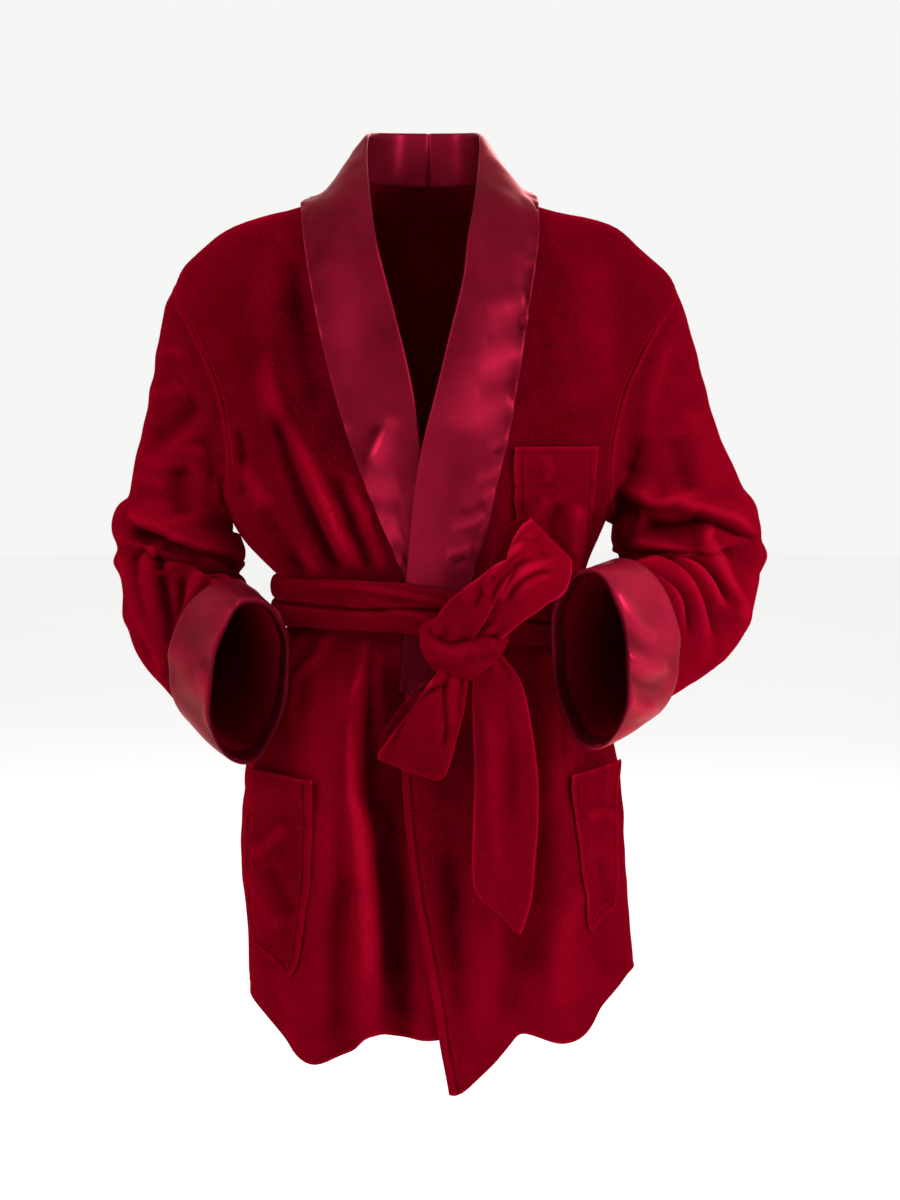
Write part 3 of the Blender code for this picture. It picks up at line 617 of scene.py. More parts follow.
LEFT_FRONT_FOLDS = (
    (2.5, 13, 13, ((476, 850), (483, 900), (486, 967), (483, 1060))),
    (2.5, 4, 7, ((566, 620), (566, 728), (569, 790))),
    (-3.0, 18, 18, ((536, 800), (536, 912), (530, 990))),
    (2.5, 10, 12, ((578, 880), (569, 912), (558, 951), (556, 1040))),
    (-2.5, 12, 12, ((510, 880), (512, 960), (508, 1030))),
    (3.0, 8, 7, ((548, 606), (548, 660), (552, 740), (556, 820))),
    (3.0, 6, 6, ((585, 606), (588, 660), (590, 720))),
    (-2.5, 14, 12, ((450, 840), (455, 930), (460, 1040))),
    (-2.0, 16, 16, ((560, 250), (575, 330), (590, 400))),
    (2.0, 18, 18, ((605, 250), (600, 330), (600, 400))),
    (-2.5, 9, 8, ((520, 490), (515, 530), (505, 570), (500, 600))),
    (3.0, 8, 8, ((575, 500), (572, 540), (562, 600))),
    (-2.5, 7, 7, ((590, 500), (586, 545), (575, 600))),
)


# patches of painted light and shade on the fronts, drawn in the same way as the folds, their height an
# amount of light
RIGHT_FRONT_PAINTED_LIGHT = (
    (-0.28, 6, 30, ((379, 640), (371, 708), (371, 784), (379, 850), (387, 930), (390, 1070))),
    (0.10, 30, 7, ((358, 690), (353, 784), (359, 850), (365, 930), (369, 1070))),
    (0.08, 20, 20, ((318, 640), (312, 720), (318, 800), (322, 950))),
    (-0.14, 10, 10, ((338, 640), (336, 720), (338, 800))),
    (-0.12, 14, 26, ((290, 250), (296, 330), (322, 420), (352, 500))),
    (-0.07, 40, 50, ((250, 220), (256, 300), (280, 420), (320, 560))),
    (0.16, 10, 4, ((262, 330), (278, 400), (310, 460), (346, 540), (372, 590))),
    (0.12, 4, 10, ((250, 452), (262, 492), (290, 534), (318, 574), (334, 596))),
    (-0.16, 6, 12, ((268, 395), (284, 441), (300, 491), (322, 538), (346, 596))),
    (-0.14, 6, 10, ((256, 505), (272, 530), (296, 566), (312, 596))),
    (0.12, 4, 7, ((344, 470), (356, 510), (372, 550), (386, 590))),
)
LEFT_FRONT_PAINTED_LIGHT = (
    (-0.14, 26, 20, ((430, 700), (440, 800), (446, 900), (452, 990))),
    (0.08, 10, 14, ((462, 900), (474, 980), (474, 1060))),
    (-0.12, 8, 12, ((536, 660), (538, 740), (543, 830), (538, 900))),
    (0.14, 20, 20, ((566, 640), (566, 720), (570, 780))),
    (0.12, 20, 20, ((560, 900), (566, 960), (566, 1020))),
    (0.14, 22, 26, ((568, 250), (582, 330), (590, 420))),
    (-0.12, 12, 18, ((540, 240), (548, 300), (545, 400))),
)


def belt_room(phi, z):
    """0 under the belt and 1 well clear of it."""
    away = (np.asarray(phi) + 180) % 360 - 180
    return ease(np.abs(z - glide(away, WAIST[:, 0], WAIST[:, 1])), 19, 40)


def body_panel(side, share, z, lines=()):
    """Point, outward direction and fold height of a panel; side 0 is the back."""
    table = 2 if side == 0 else 1
    between = (z > UNDERARM) & (z < SHOULDER)
    stop = np.where(between, glide(z, ARMHOLES[:, 0], ARMHOLES[:, table]), 90.0)
    if side == 0:
        phi = stop + (360 - 2 * stop) * share
        z = hem_height(0, phi, z)
        p, n = torso(phi, z), torso_normal(phi, z)
        seam = np.minimum(share, 1 - share)
        clear = 1.0
    else:
        start = edge_angle(side, z)
        phi = start + (side * stop - start) * share
        z = hem_height(side, phi, z)
        p, n = front_point(side, phi, z), torso_normal(phi, z)
        seam = 1 - share
        table = COLLAR_RIGHT if side < 0 else COLLAR_LEFT
        lapel = glide(z, table[5:, 6], table[5:, 5])
        clear = np.where(z > -400, ease(side * phi - lapel, -1.0, 6.0), ease(-z, 398, 440))
    room = belt_room(phi, z)
    folds = 1.35 * drawn_folds_and_light(p, n, lines) * ease(seam, 0.005, 0.07) * clear * room
    loose = waver(p, 3, 105, 1.1) * (0.35 + 0.65 * clear) + waver(p, 8, 34, 0.35) * clear
    return p + n * (folds + loose * (0.3 + 0.7 * room))[..., None], n, folds


def seam_mark(away):
    """The low roll of cloth beside a seam, and how far the cloth turns in at it."""
    return 0.4 * bell(away - 3.4, 2.4) - 1.1 * bell(away, 1.2)


def hem_mark(away):
    """The turned hem of the skirt, fuller along its fold."""
    return stitch_mark(away, HEM_DEPTH) * 0.35 + 0.5 * bell(away, 3)


def stitch_mark(away, at):
    """A sunken line of stitching, and the fuller edge beyond it."""
    return 0.55 * bell(away - at * 0.45, at * 0.32) - 0.75 * bell(away - at, 1.0)


# base angle and height, fold x y z, outer edge angle and height, from the middle of the back
# down to the lower end; angles are for the right half as positive numbers
COLLAR_RIGHT = np.array((
    (180, -16.8, 0, 64, 34, 180, -54),
    (152, -16.8, 28, 57, 33, 155, -54),
    (126, -16.8, 47, 37, 30, 131, -54),
    (106, -16.8, 55, 16, 26, 110, -47),
    (91, -16.8, 57, 1, 21, 92, -42),
    (82, -17.5, 57, -10, 13, 71, -50),
    (66, -27, 56, -30, -4, 60, -62),
    (50, -44, 52, -63, -38, 53.5, -84),
    (34, -80, 45, -94, -82, 47, -122),
    (22.5, -124, 0, 0, 0, 41.5, -168),
    (15.2, -170, 0, 0, 0, 36, -216),
    (9.8, -214, 0, 0, 0, 30, -262),
    (6.5, -254, 0, 0, 0, 23.8, -303),
    (4.0, -294, 0, 0, 0, 17.5, -340),
    (0.5, -328, 0, 0, 0, 12.5, -368),
    (-3.0, -350, 0, 0, 0, 9.5, -384),
), float)
COLLAR_LEFT = np.array((
    (180, -16.8, 0, 64, 34, 180, -54),
    (152, -16.8, 28, 57, 33, 155, -54),
    (126, -16.8, 45, 37, 30, 131, -54),
    (106, -16.8, 50, 16, 25, 110, -45),
    (91, -16.8, 50, 1, 19, 92, -38),
    (82, -17.5, 50, -12, 10, 67, -49),
    (66, -27, 48, -32, -8, 53.5, -70),
    (49, -45, 44, -70, -44, 50, -88),
    (31, -84, 37, -97, -84, 44.5, -120),
    (21, -122, 0, 0, 0, 40.5, -156),
    (14.4, -166, 0, 0, 0, 36.5, -200),
    (8.4, -214, 0, 0, 0, 32.5, -248),
    (2.4, -263, 0, 0, 0, 28, -292),
    (-1.0, -303, 0, 0, 0, 24.5, -332),
    (-3.2, -347, 0, 0, 0, 21, -366),
    (-5.6, -388, 0, 0, 0, 18, -398),
    (-7.2, -424, 0, 0, 0, 13, -434),
    (-7.4, -458, 0, 0, 0, 4, -470),
    (-7.8, -484, 0, 0, 0, -4, -490),
), float)

drop = np.concatenate((np.linspace(-18, -790, 236)[:-1], np.linspace(-790, HEM, 16)))
for side, word, lines, front_painted_light in (
        (-1, "right", RIGHT_FRONT_FOLDS, RIGHT_FRONT_PAINTED_LIGHT),
        (1, "left", LEFT_FRONT_FOLDS, LEFT_FRONT_PAINTED_LIGHT)):
    share, z = np.meshgrid(gathered(112), drop)
    p, n, folds = body_panel(side, share, z, lines)
    from_edge = spans(p)
    to_seam = from_edge[:, -1:] - from_edge
    down = spans(p, 0)
    to_hem = down[-1:] - down
    low = ease(-z, 395, 430)
    marks = seam_mark(to_seam) + hem_mark(to_hem) + stitch_mark(from_edge, TOPSTITCH) * low
    p = p + n * marks[..., None]
    n = facing(p, INSIDE)
    # painted light and shade: the skirt lighter than the chest, lighter on fold ridges and on the rolls
    # beside seams, darker in creases and seam lines, the listed patches, and painted highlights along the
    # free edge and the hem
    painted_light = 0.35 + 0.08 * low + 0.03 * folds + 0.12 * np.clip(marks, -1, 1) + 3.2 * crest(p, n, 3)
    painted_light = painted_light + drawn_folds_and_light(p, n, front_painted_light) + 0.3 * bell(from_edge, 1.6) * low + 0.3 * bell(to_hem, 1.6)
    made = shell("front_panel_" + word, p, n, painted_light, velvet)
    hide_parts("front_" + word)
    sewn_rows = slice(int(np.searchsorted(-drop, 440)), -2)
    line = [[np.interp(TOPSTITCH, run, row[:, k]) for k in range(3)]
            for run, row in zip(from_edge[sewn_rows], p[sewn_rows])]
    out = n[sewn_rows, 12]
    sewn = stitches("edge_stitches_" + word, np.array(line) + out * 0.75, out)

# The back: one velvet panel cut whole, joined to the fronts at the shoulders and sides, and
# drawn into soft pleats above and below the belt.
share, z = np.meshgrid(gathered(168), drop)
p, n, _ = body_panel(0, share, z)
across, down = spans(p), spans(p, 0)
to_seam = np.minimum(across, across[:, -1:] - across)
to_hem = down[-1:] - down
marks = seam_mark(to_seam) + hem_mark(to_hem)
p = p + n * marks[..., None]
n = facing(p, INSIDE)
pleats = fold_height(90 + 180 * share, z)
# painted light and shade: lighter on the pleats' ridges and the rolls beside seams, darker in creases and
# seam lines
painted_light = 0.38 + 0.025 * pleats + 0.12 * np.clip(marks, -1, 1) + 3.0 * crest(p, n, 3)
made = shell("back_panel", p, n, painted_light, velvet)
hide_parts("back")

# The sleeves: velvet tubes set into the armholes, bent at the elbow, with the cloth piled into
# rolls above the bend and drawn into long folds along the forearm.
SLEEVE_RIGHT = np.array((
    (-219.5, 0, -241.5, -0.257, 0.00, 0.966, 107, 61),
    (-224, -1, -263.5, -0.344, 0.016, 0.94, 93, 61),
    (-227, -2, -286, -0.455, 0.03, 0.89, 79, 61),
    (-230.5, -3, -312, -0.634, 0.05, 0.77, 66, 61),
    (-235, -2, -337, -0.838, 0.05, 0.538, 60, 61),
    (-240, 2, -358, -0.95, 0.00, 0.31, 60, 61),
    (-241, 1, -378, -0.986, -0.08, 0.166, 59, 61),
    (-238, -7, -399, -0.97, -0.20, 0.08, 58, 61),
    (-232, -21, -418, -0.95, -0.30, 0.02, 56, 62),
    (-223, -39, -433, -0.93, -0.36, 0.00, 54, 63),
    (-207, -65, -444, -0.92, -0.39, 0.00, 51, 66),
    (-191, -90, -454, -0.92, -0.39, 0.00, 46, 70),
    (-175, -114, -463, -0.92, -0.39, 0.00, 41, 74),
    (-158, -140, -472, -0.92, -0.39, 0.00, 36, 78),
), float)
SLEEVE_LEFT = np.array((
    (209.5, 0, -240, 0.29, 0.00, 0.957, 108, 61),
    (214, -1, -262, 0.387, 0.016, 0.921, 95, 61),
    (219.5, -2, -285, 0.514, 0.024, 0.858, 83, 61),
    (227, -2, -308, 0.671, 0.048, 0.74, 73, 61),
    (238, -2, -332, 0.832, 0.05, 0.55, 67, 61),
    (249, 0, -354, 0.941, 0.03, 0.334, 66, 61),
    (256, -1, -375, 0.975, -0.06, 0.20, 64, 61),
    (254, -10, -396, 0.955, -0.25, 0.10, 63, 61),
    (245, -25, -414, 0.92, -0.38, 0.02, 60, 61),
    (230, -46, -427, 0.88, -0.47, 0.00, 56, 63),
    (209, -75, -434, 0.86, -0.51, 0.00, 51, 66),
    (188, -104, -439, 0.86, -0.51, 0.00, 46, 70),
    (166, -133, -444, 0.86, -0.51, 0.00, 41, 74),
    (144, -163, -448, 0.86, -0.51, 0.00, 37, 78),
), float)

# ring, angle round the sleeve, ring spread, angle spread, height
BUMPS_RIGHT = (
    (6.2, 60, 0.9, 75, 7.0), (7.6, 80, 0.6, 60, -7.0), (5.0, 20, 0.5, 40, -4.0),
    (8.8, 250, 0.9, 40, 5.0), (10.2, 330, 0.7, 50, 4.0), (3.4, 100, 0.8, 40, -4.0),
)
BUMPS_LEFT = (
    (6.4, 50, 0.8, 60, 6.0), (7.9, 85, 0.7, 55, -8.0), (7.2, 330, 0.8, 45, 5.0),
    (9.4, 300, 0.6, 60, 4.0), (10.6, 350, 0.6, 50, -3.5), (3.6, 95, 0.8, 40, -4.0),
)
RINGS = np.arange(1, 15)
TURNS = np.linspace(0, 360, 17)
CAP_TURNS = (0, 30, 52, 72, 91, 109, 127, 145, 180, 215, 233, 251, 269, 288, 308, 330, 360)


def sleeve_point(side, k, theta, off=0.0):
    """Point of a sleeve at ring k and an angle from its outer line toward the front."""
    table = SLEEVE_RIGHT if side < 0 else SLEEVE_LEFT
    k, theta = np.broadcast_arrays(np.asarray(k, float), np.asarray(theta, float))
    cap = glide(theta % 360, TURNS, CAP_TURNS)
    theta = theta % 360
    theta = theta + (cap - theta) * (1 - ease(k, 0.8, 5))

    def at(value):
        return np.stack([glide(value, RINGS, table[:, i]) for i in range(3)], -1)
    centre = at(k)
    outward = unit(np.stack([glide(k, RINGS, table[:, i]) for i in (3, 4, 5)], -1))
    along = at(np.minimum(k + 0.6, 14)) - at(np.maximum(k - 0.6, 1))
    along = unit(along - (along * outward).sum(-1, keepdims=True) * outward)
    forward = side * np.cross(along, outward)
    t = np.radians(theta)
    extra = np.zeros(t.shape) + off
    for ring, turn, ring_spread, spread, height in BUMPS_RIGHT if side < 0 else BUMPS_LEFT:
        away = (theta - turn + 180) % 360 - 180
        extra = extra + height * bell(k - ring, ring_spread) * bell(away, spread)
    wide = (glide(k, RINGS, table[:, 6]) + extra) * np.cos(t)
    deep = (glide(k, RINGS, table[:, 7]) + extra) * np.sin(t)
    past = np.maximum(k - 14, 0)[..., None] * 28.0
    return centre + outward * wide[..., None] + forward * deep[..., None] + along * past


def armhole(side, theta):
    """The armhole seam, from the shoulder down the front and up the back."""
    turn = theta % 360 / 22.5
    back = turn > 8
    heights, front_angles, back_angles = ARMHOLES.T
    z = np.interp(np.where(back, 16 - turn, turn), np.arange(9), heights)
    phi = np.where(back, glide(z, heights, back_angles), glide(z, heights, front_angles))
    return torso(side * phi, z), torso_normal(side * phi, z)


def sleeve_surface(side, k, theta):
    """The sleeve from its seam at 0 to its end, running smoothly out of the armhole."""
    body = sleeve_point(side, np.maximum(k, 1), theta)
    seam, out = armhole(side, theta)
    slope = sleeve_point(side, 1.15, theta) - sleeve_point(side, 1.0, theta)
    ring = sleeve_point(side, 1.0, theta)
    t = np.clip(k, 0, 1)[..., None]
    first = (ring - seam) * 0.8
    last = slope / 0.15 * 0.6
    h = (2 * t ** 3 - 3 * t ** 2 + 1) * seam + (t ** 3 - 2 * t ** 2 + t) * first
    h = h + (3 * t ** 2 - 2 * t ** 3) * ring + (t ** 3 - t ** 2) * last
    return np.where(t < 1, h, body)


RIGHT_SLEEVE_FOLDS = (
    (3.2, 12, 14, ((228, 396), (217, 408), (190, 435), (160, 462), (140, 470))),
    (-1.5, 12, 16, ((204, 396), (178, 422), (150, 440))),
    (8.5, 4, 18, ((126, 512), (148, 522), (168, 530), (194, 543), (223, 551), (252, 566))),
    (-9.5, 9, 4, ((128, 526), (150, 534), (181, 547), (210, 561), (243, 578))),
    (4.5, 6, 6, ((148, 582), (151, 559), (160, 545), (190, 536))),
    (-4.0, 5, 5, ((158, 574), (164, 556), (186, 546))),
    (4.0, 7, 8, ((146, 570), (151, 595), (161, 648), (172, 675))),
    (-3.5, 6, 7, ((160, 570), (164, 610), (174, 655))),
    (4.0, 8, 6, ((126, 545), (133, 575), (142, 610), (158, 648))),
    (3.5, 7, 8, ((200, 565), (192, 600), (191, 641), (200, 672))),
    (-3.0, 7, 7, ((184, 570), (178, 610), (182, 655))),
    (3.0, 7, 7, ((222, 575), (206, 606), (205, 630), (216, 648))),
    (-3.0, 6, 6, ((212, 570), (200, 600), (198, 630))),
    (3.5, 6, 6, ((219, 470), (214, 494), (227, 520), (243, 548))),
    (-4.0, 6, 6, ((226, 470), (226, 495), (238, 520))),
    (2.5, 14, 12, ((200, 440), (199, 475), (206, 530))),
    (-2.5, 12, 12, ((180, 460), (178, 495), (182, 520))),
    (1.2, 8, 8, ((160, 348), (178, 352), (192, 350))),
    (1.0, 8, 8, ((150, 392), (168, 392), (184, 384))),
    (1.5, 7, 7, ((134, 474), (150, 480), (168, 488))),
)
LEFT_SLEEVE_FOLDS = (
    (6.0, 6, 15, ((618, 478), (640, 494), (658, 503), (678, 502), (702, 511), (730, 520), (768, 536))),
    (-5.5, 6, 4, ((690, 514), (715, 522), (758, 540))),
    (-9.0, 12, 8, ((640, 522), (664, 528), (690, 524), (712, 522))),
    (5.0, 8, 8, ((698, 512), (707, 540), (724, 579), (734, 603), (736, 630))),
    (-6.0, 5, 5, ((654, 550), (689, 558), (711, 576), (729, 608))),
    (5.0, 7, 7, ((626, 544), (645, 542), (668, 548), (694, 566), (712, 592), (728, 622))),
    (-4.5, 5, 5, ((636, 552), (664, 556), (688, 574), (704, 604), (712, 640))),
    (5.0, 7, 8, ((606, 572), (626, 563), (648, 561), (676, 572), (696, 597), (701, 636), (698, 672))),
    (-4.5, 6, 5, ((612, 582), (640, 571), (666, 578), (686, 602), (690, 645))),
    (4.5, 7, 7, ((618, 588), (642, 577), (662, 581), (675, 598), (678, 622), (668, 652))),
    (-3.0, 6, 6, ((650, 592), (664, 606), (668, 630))),
    (3.0, 10, 12, ((748, 560), (742, 600), (724, 640), (706, 668))),
    (2.5, 16, 14, ((660, 330), (650, 390), (640, 450))),
    (-3.0, 14, 12, ((632, 400), (626, 450), (620, 476))),
    (2.0, 16, 16, ((690, 400), (706, 450), (716, 500))),
    (-2.5, 12, 14, ((676, 430), (684, 470), (690, 496))),
    (-6.0, 14, 10, ((606, 488), (620, 504), (644, 514))),
)
# ring and height of the rolls of cloth round the back of the elbow
BACK_ROLLS = ((5.2, 3.0), (6.1, -3.5), (6.9, 4.0), (7.8, -4.5), (8.7, 3.0))
for side, word, lines in ((-1, "right", RIGHT_SLEEVE_FOLDS), (1, "left", LEFT_SLEEVE_FOLDS)):
    ring = np.concatenate((np.linspace(0, 1, 22)[:-1], np.linspace(1, 13.9, 160)))
    theta, k = np.meshgrid(np.linspace(0, 360, 145)[:-1], ring)
    p = sleeve_surface(side, k, theta)
    n = facing(p)
    clear = ease(k, 0.15, 1.0) * (1 - ease(k, 11.6, 12.2))
    folds = 1.5 * drawn_folds_and_light(p, n, lines) * clear
    outline = bell((theta + 195) % 360 - 180, 24) * ease(k, 1.3, 2.6) * (1 - ease(k, 6.8, 8.0))
    twice = np.sin(np.radians(2 * theta))
    ripple = np.sin(2 * math.pi * (k * 1.12 + 0.12 * np.sin(1.9 * k)) + 0.6 * twice)
    folds = folds + (1.7 if side < 0 else 0.6) * ripple * outline
    turned = 1 - ease((n * unit(EYE - p)).sum(-1), -0.1, 0.3)
    bend = 0.5 * np.cos(np.radians(theta)) + 0.3 * twice
    for ring_at, height in BACK_ROLLS:
        folds = folds + height * bell(k - ring_at - bend, 0.34) * turned * clear
    loose = waver(p, 3, 105, 1.1) * (1 - 0.7 * ease(k, 11.6, 12.2)) + waver(p, 8, 34, 0.35) * clear
    from_seam = spans(p, 0)
    marks = seam_mark(from_seam) * (1 - ease(from_seam, 9, 12))
    p = p + n * (folds + loose + marks)[..., None]
    n = facing(p)
    # painted light and shade: the left sleeve lighter than the right, the right forearm darker, lighter on
    # fold ridges and the roll beside the armhole seam, darker in creases and in the seam
    painted_light = 0.43 + 0.05 * side + 0.042 * np.clip(folds, -4.5, 3.5) + 0.12 * np.clip(marks, -1, 1)
    painted_light = painted_light - 0.04 * (1 - side) * ease(k, 7.5, 10) + 3.2 * crest(p, n, 2, True)
    made = shell("sleeve_tube_" + word, p, n, painted_light, velvet, closed=True)
    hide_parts("sleeve_" + word)

# The shawl collar: satin cut as two halves that meet in a seam behind the neck, turned over
# along a soft roll and lying on the fronts down to where they cross under the belt.
LAPEL_OFF = 4.6
# Satin colour: a painted shade wine and a painted highlight blush, mixed by the painted light and shade
# stored on each piece, with random cloudiness and the fine lie of the floats.
HIGHLIGHT_BLUSH = (0.50, 0.012, 0.048, 1)
SHADED_WINE = (0.052, 0.0010, 0.0045, 1)
satin, here = start_cloth("wine_satin", {
    "Metallic": 0.5,
    "Specular IOR Level": 0.12,
    "Specular Tint": (1.0, 0.05, 0.1, 1),
})
painted_light = here.node("ShaderNodeAttribute", {"attribute_name": "painted_light"}, {}, "Fac")
cloudy = here.grain(14, 3, 0.55)
lie = here.node("ShaderNodeMapping", {}, {"Vector": here.place(), "Scale": (1.0, 1.0, 0.12)})
floats = here.grain(2600, 1, 0.5, lie)
tone = painted_light * 0.8 + (cloudy - 0.5) * 0.4 + (floats - 0.5) * 0.12
tone.within().blend(SHADED_WINE, HIGHLIGHT_BLUSH).feed("Base Color")
(0.36 + (cloudy - 0.5) * 0.16 + (floats - 0.5) * 0.1).feed("Roughness")
raised = floats * 0.4 + cloudy
here.node("ShaderNodeBump", {}, {"Strength": 0.25, "Distance": 0.0003, "Height": raised}).feed("Normal")


def refine(grid, rows, columns, closed=False):
    """A finer grid on the smooth surface through the points of a coarse one."""
    grid = np.asarray(grid, float)
    if closed:
        grid = np.concatenate((grid[:, -2:], grid, grid[:, :3]), 1)
        at = 2 + np.linspace(0, grid.shape[1] - 5, columns + 1)[:-1]
    else:
        at = np.linspace(0, grid.shape[1] - 1, columns)
    index = np.arange(grid.shape[1])
    wide = np.stack([[glide(at, index, row[:, i]) for i in range(3)] for row in grid]).transpose(0, 2, 1)
    index = np.arange(grid.shape[0])
    at = np.linspace(0, grid.shape[0] - 1, rows)
    tall = np.stack([[glide(at, index, wide[:, j, i]) for i in range(3)] for j in range(wide.shape[1])])
    return tall.transpose(2, 0, 1)


def forward(points, row, column):
    """Normals of a grid, turned so that they face the front at one of its points."""
    n = grid_normals(points)
    return -n if n[row, column, 1] > 0 else n


def collar_grid(side):
    """Coarse points of a collar half, from its seam over the roll to its outer edge."""
    rows = []
    for base_phi, base_z, fx, fy, fz, outer_phi, outer_z in COLLAR_RIGHT if side < 0 else COLLAR_LEFT:
        front = base_z < -20
        base_phi = edge_angle(side, base_z) if front else side * base_phi
        outer_phi = side * outer_phi
        laps = side if abs(base_phi) < 90 else 0
        on_shoulder = ease(abs(outer_phi), 48, 62) * (1 - ease(abs(outer_phi), 130, 170))
        lift = LAPEL_OFF + 2.4 * float(on_shoulder)
        base = front_point(laps, base_phi, base_z)
        n = torso_normal(base_phi, base_z)
        if front:
            inboard = unit(front_point(laps, base_phi - side * 2, base_z) - base)
            base = base + inboard * 1.9
        if fz == 0:
            fold = base + inboard * 5.5 + n * (LAPEL_OFF / 2 + 0.2)
            up, out = inboard, n
        else:
            fold = np.array((side * fx, fy, fz), float)
            middle = front_point(laps, (base_phi + outer_phi) / 2, (base_z + outer_z) / 2, lift)
            up = unit(fold - (base + middle) / 2)
            out = unit(n - (n * up).sum() * up)
            if not front:
                out = unit(np.array((n[0], n[1], 0)))
        reach = min(4.0, np.linalg.norm(fold - base) * 0.4)
        inner = fold - up * reach - out * 2.3
        outer = fold - up * reach + out * 2.5
        fall = []
        for share in (0.22, 0.48, 0.74, 1.0):
            phi = base_phi + (outer_phi - base_phi) * share
            lying = front_point(laps, phi, base_z + (outer_z - base_z) * share, lift)
            hanging = outer + (front_point(laps, outer_phi, outer_z, lift) - outer) * share
            blend = ease(share, 0.1, 0.75) if fz else 1.0
            fall.append(hanging * (1 - blend) + lying * blend)
        rows.append([base, (base + inner) / 2, inner, fold, outer] + fall)
    return np.array(rows)


RIGHT_LAPEL_FOLDS = (
    (1.8, 7, 9, ((396, 412), (386, 440), (372, 470))),
    (-1.0, 8, 8, ((380, 420), (370, 446), (358, 470))),
    (1.2, 14, 14, ((360, 482), (382, 488), (402, 484))),
    (1.4, 12, 14, ((372, 522), (388, 530), (402, 526))),
    (-1.0, 10, 10, ((366, 502), (386, 508), (404, 504))),
    (1.4, 8, 8, ((385, 558), (396, 562), (406, 558))),
    (0.9, 4, 4, ((340, 436), (352, 426))),
    (0.8, 16, 18, ((330, 250), (345, 330), (356, 400))),
)
LEFT_LAPEL_FOLDS = (
    (1.3, 11, 9, ((528, 300), (508, 306), (484, 318))),
    (-1.1, 9, 9, ((530, 326), (506, 334), (480, 344))),
    (1.5, 10, 8, ((528, 350), (502, 360), (474, 372))),
    (-1.0, 8, 9, ((522, 378), (498, 386), (472, 394))),
    (1.0, 10, 10, ((516, 402), (494, 410), (468, 422))),
    (0.9, 4, 4, ((536, 262), (522, 266))),
    (0.9, 4, 4, ((532, 316), (520, 322))),
    (1.0, 4, 4, ((508, 436), (496, 444), (486, 446))),
    (-0.8, 4, 4, ((504, 448), (492, 454))),
    (1.1, 5, 4, ((500, 466), (488, 476), (474, 478))),
    (1.0, 4, 4, ((494, 490), (482, 498))),
    (-0.9, 4, 5, ((490, 500), (474, 510), (458, 512))),
    (1.1, 6, 5, ((486, 514), (470, 524), (448, 526))),
    (1.2, 5, 6, ((474, 544), (460, 552), (444, 552))),
    (-0.9, 5, 4, ((466, 558), (452, 564))),
)
# patches of painted highlight and painted shade on the lapels, drawn in the same way as the folds
RIGHT_LAPEL_PAINTED_LIGHT = (
    (0.26, 14, 18, ((392, 430), (378, 470), (386, 520), (400, 556))),
    (-0.08, 20, 20, ((330, 170), (322, 250), (336, 340))),
)
LEFT_LAPEL_PAINTED_LIGHT = (
    (0.42, 26, 24, ((512, 296), (496, 350), (476, 404), (462, 440))),
    (0.12, 8, 8, ((524, 250), (516, 290))),
    (-0.16, 10, 8, ((536, 240), (530, 290), (514, 400), (500, 470))),
    (-0.10, 14, 12, ((462, 450), (452, 500), (438, 550))),
)
for side, word, lines, lapel_painted_light, long in (
        (-1, "right", RIGHT_LAPEL_FOLDS, RIGHT_LAPEL_PAINTED_LIGHT, 0.62),
        (1, "left", LEFT_LAPEL_FOLDS, LEFT_LAPEL_PAINTED_LIGHT, 0.74)):
    p = refine(collar_grid(side), 260, 64)
    n = forward(p, 160, -1)
    on_top = ease(np.linspace(0, 1, p.shape[1]), 0.45, 0.56)[None]
    folds = 1.4 * drawn_folds_and_light(p, n, lines) * on_top
    across, down = spans(p), spans(p, 0)
    to_edge = across[:, -1:] - across
    edge_run = down[:, -1:]
    ripple = np.sin(edge_run * 2 * math.pi / 23 + 1.3 * np.sin(edge_run / 31)) * bell(to_edge, 9)
    h = folds + 0.5 * bell(to_edge - 1.8, 2.0) + 0.55 * ripple - 0.8 * bell(down, 1.6)
    h = h + (waver(p, 21, 70, 0.5) + waver(p, 22, 26, 0.22)) * on_top
    p = p + n * h[..., None]
    n = forward(p, 160, -1)
    # painted light and shade on the satin: the lower lapels lighter, the left more so, a painted shadow
    # where the collar runs under the belt, lighter on fold ridges, the rolled outer edge and its ripples,
    # darker in creases, and the listed patches
    low = -p[..., 2]
    under_belt = ease(low, 402, 424)
    painted_light = 0.22 + (0.13 + 0.07 * side) * ease(low, 180, 330) * (1 - under_belt) - 0.2 * under_belt
    painted_light = painted_light + 0.12 * folds + 0.08 * bell(to_edge, 1.5) + 0.08 * ripple * ease(low, 260, 330)
    painted_light = painted_light + drawn_folds_and_light(p, n, lapel_painted_light) + 1.2 * crest(p, n, 3) * on_top * ease(to_edge, 2, 6)
    made = shell("collar_half_" + word, p, n, painted_light, satin)
    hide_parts("collar_" + word)

# The cuffs: satin bands sewn to the sleeve ends, turned back over them and tucked a little way
# inside, a little slack so that they crease across.
OUTER_ROWS = 20
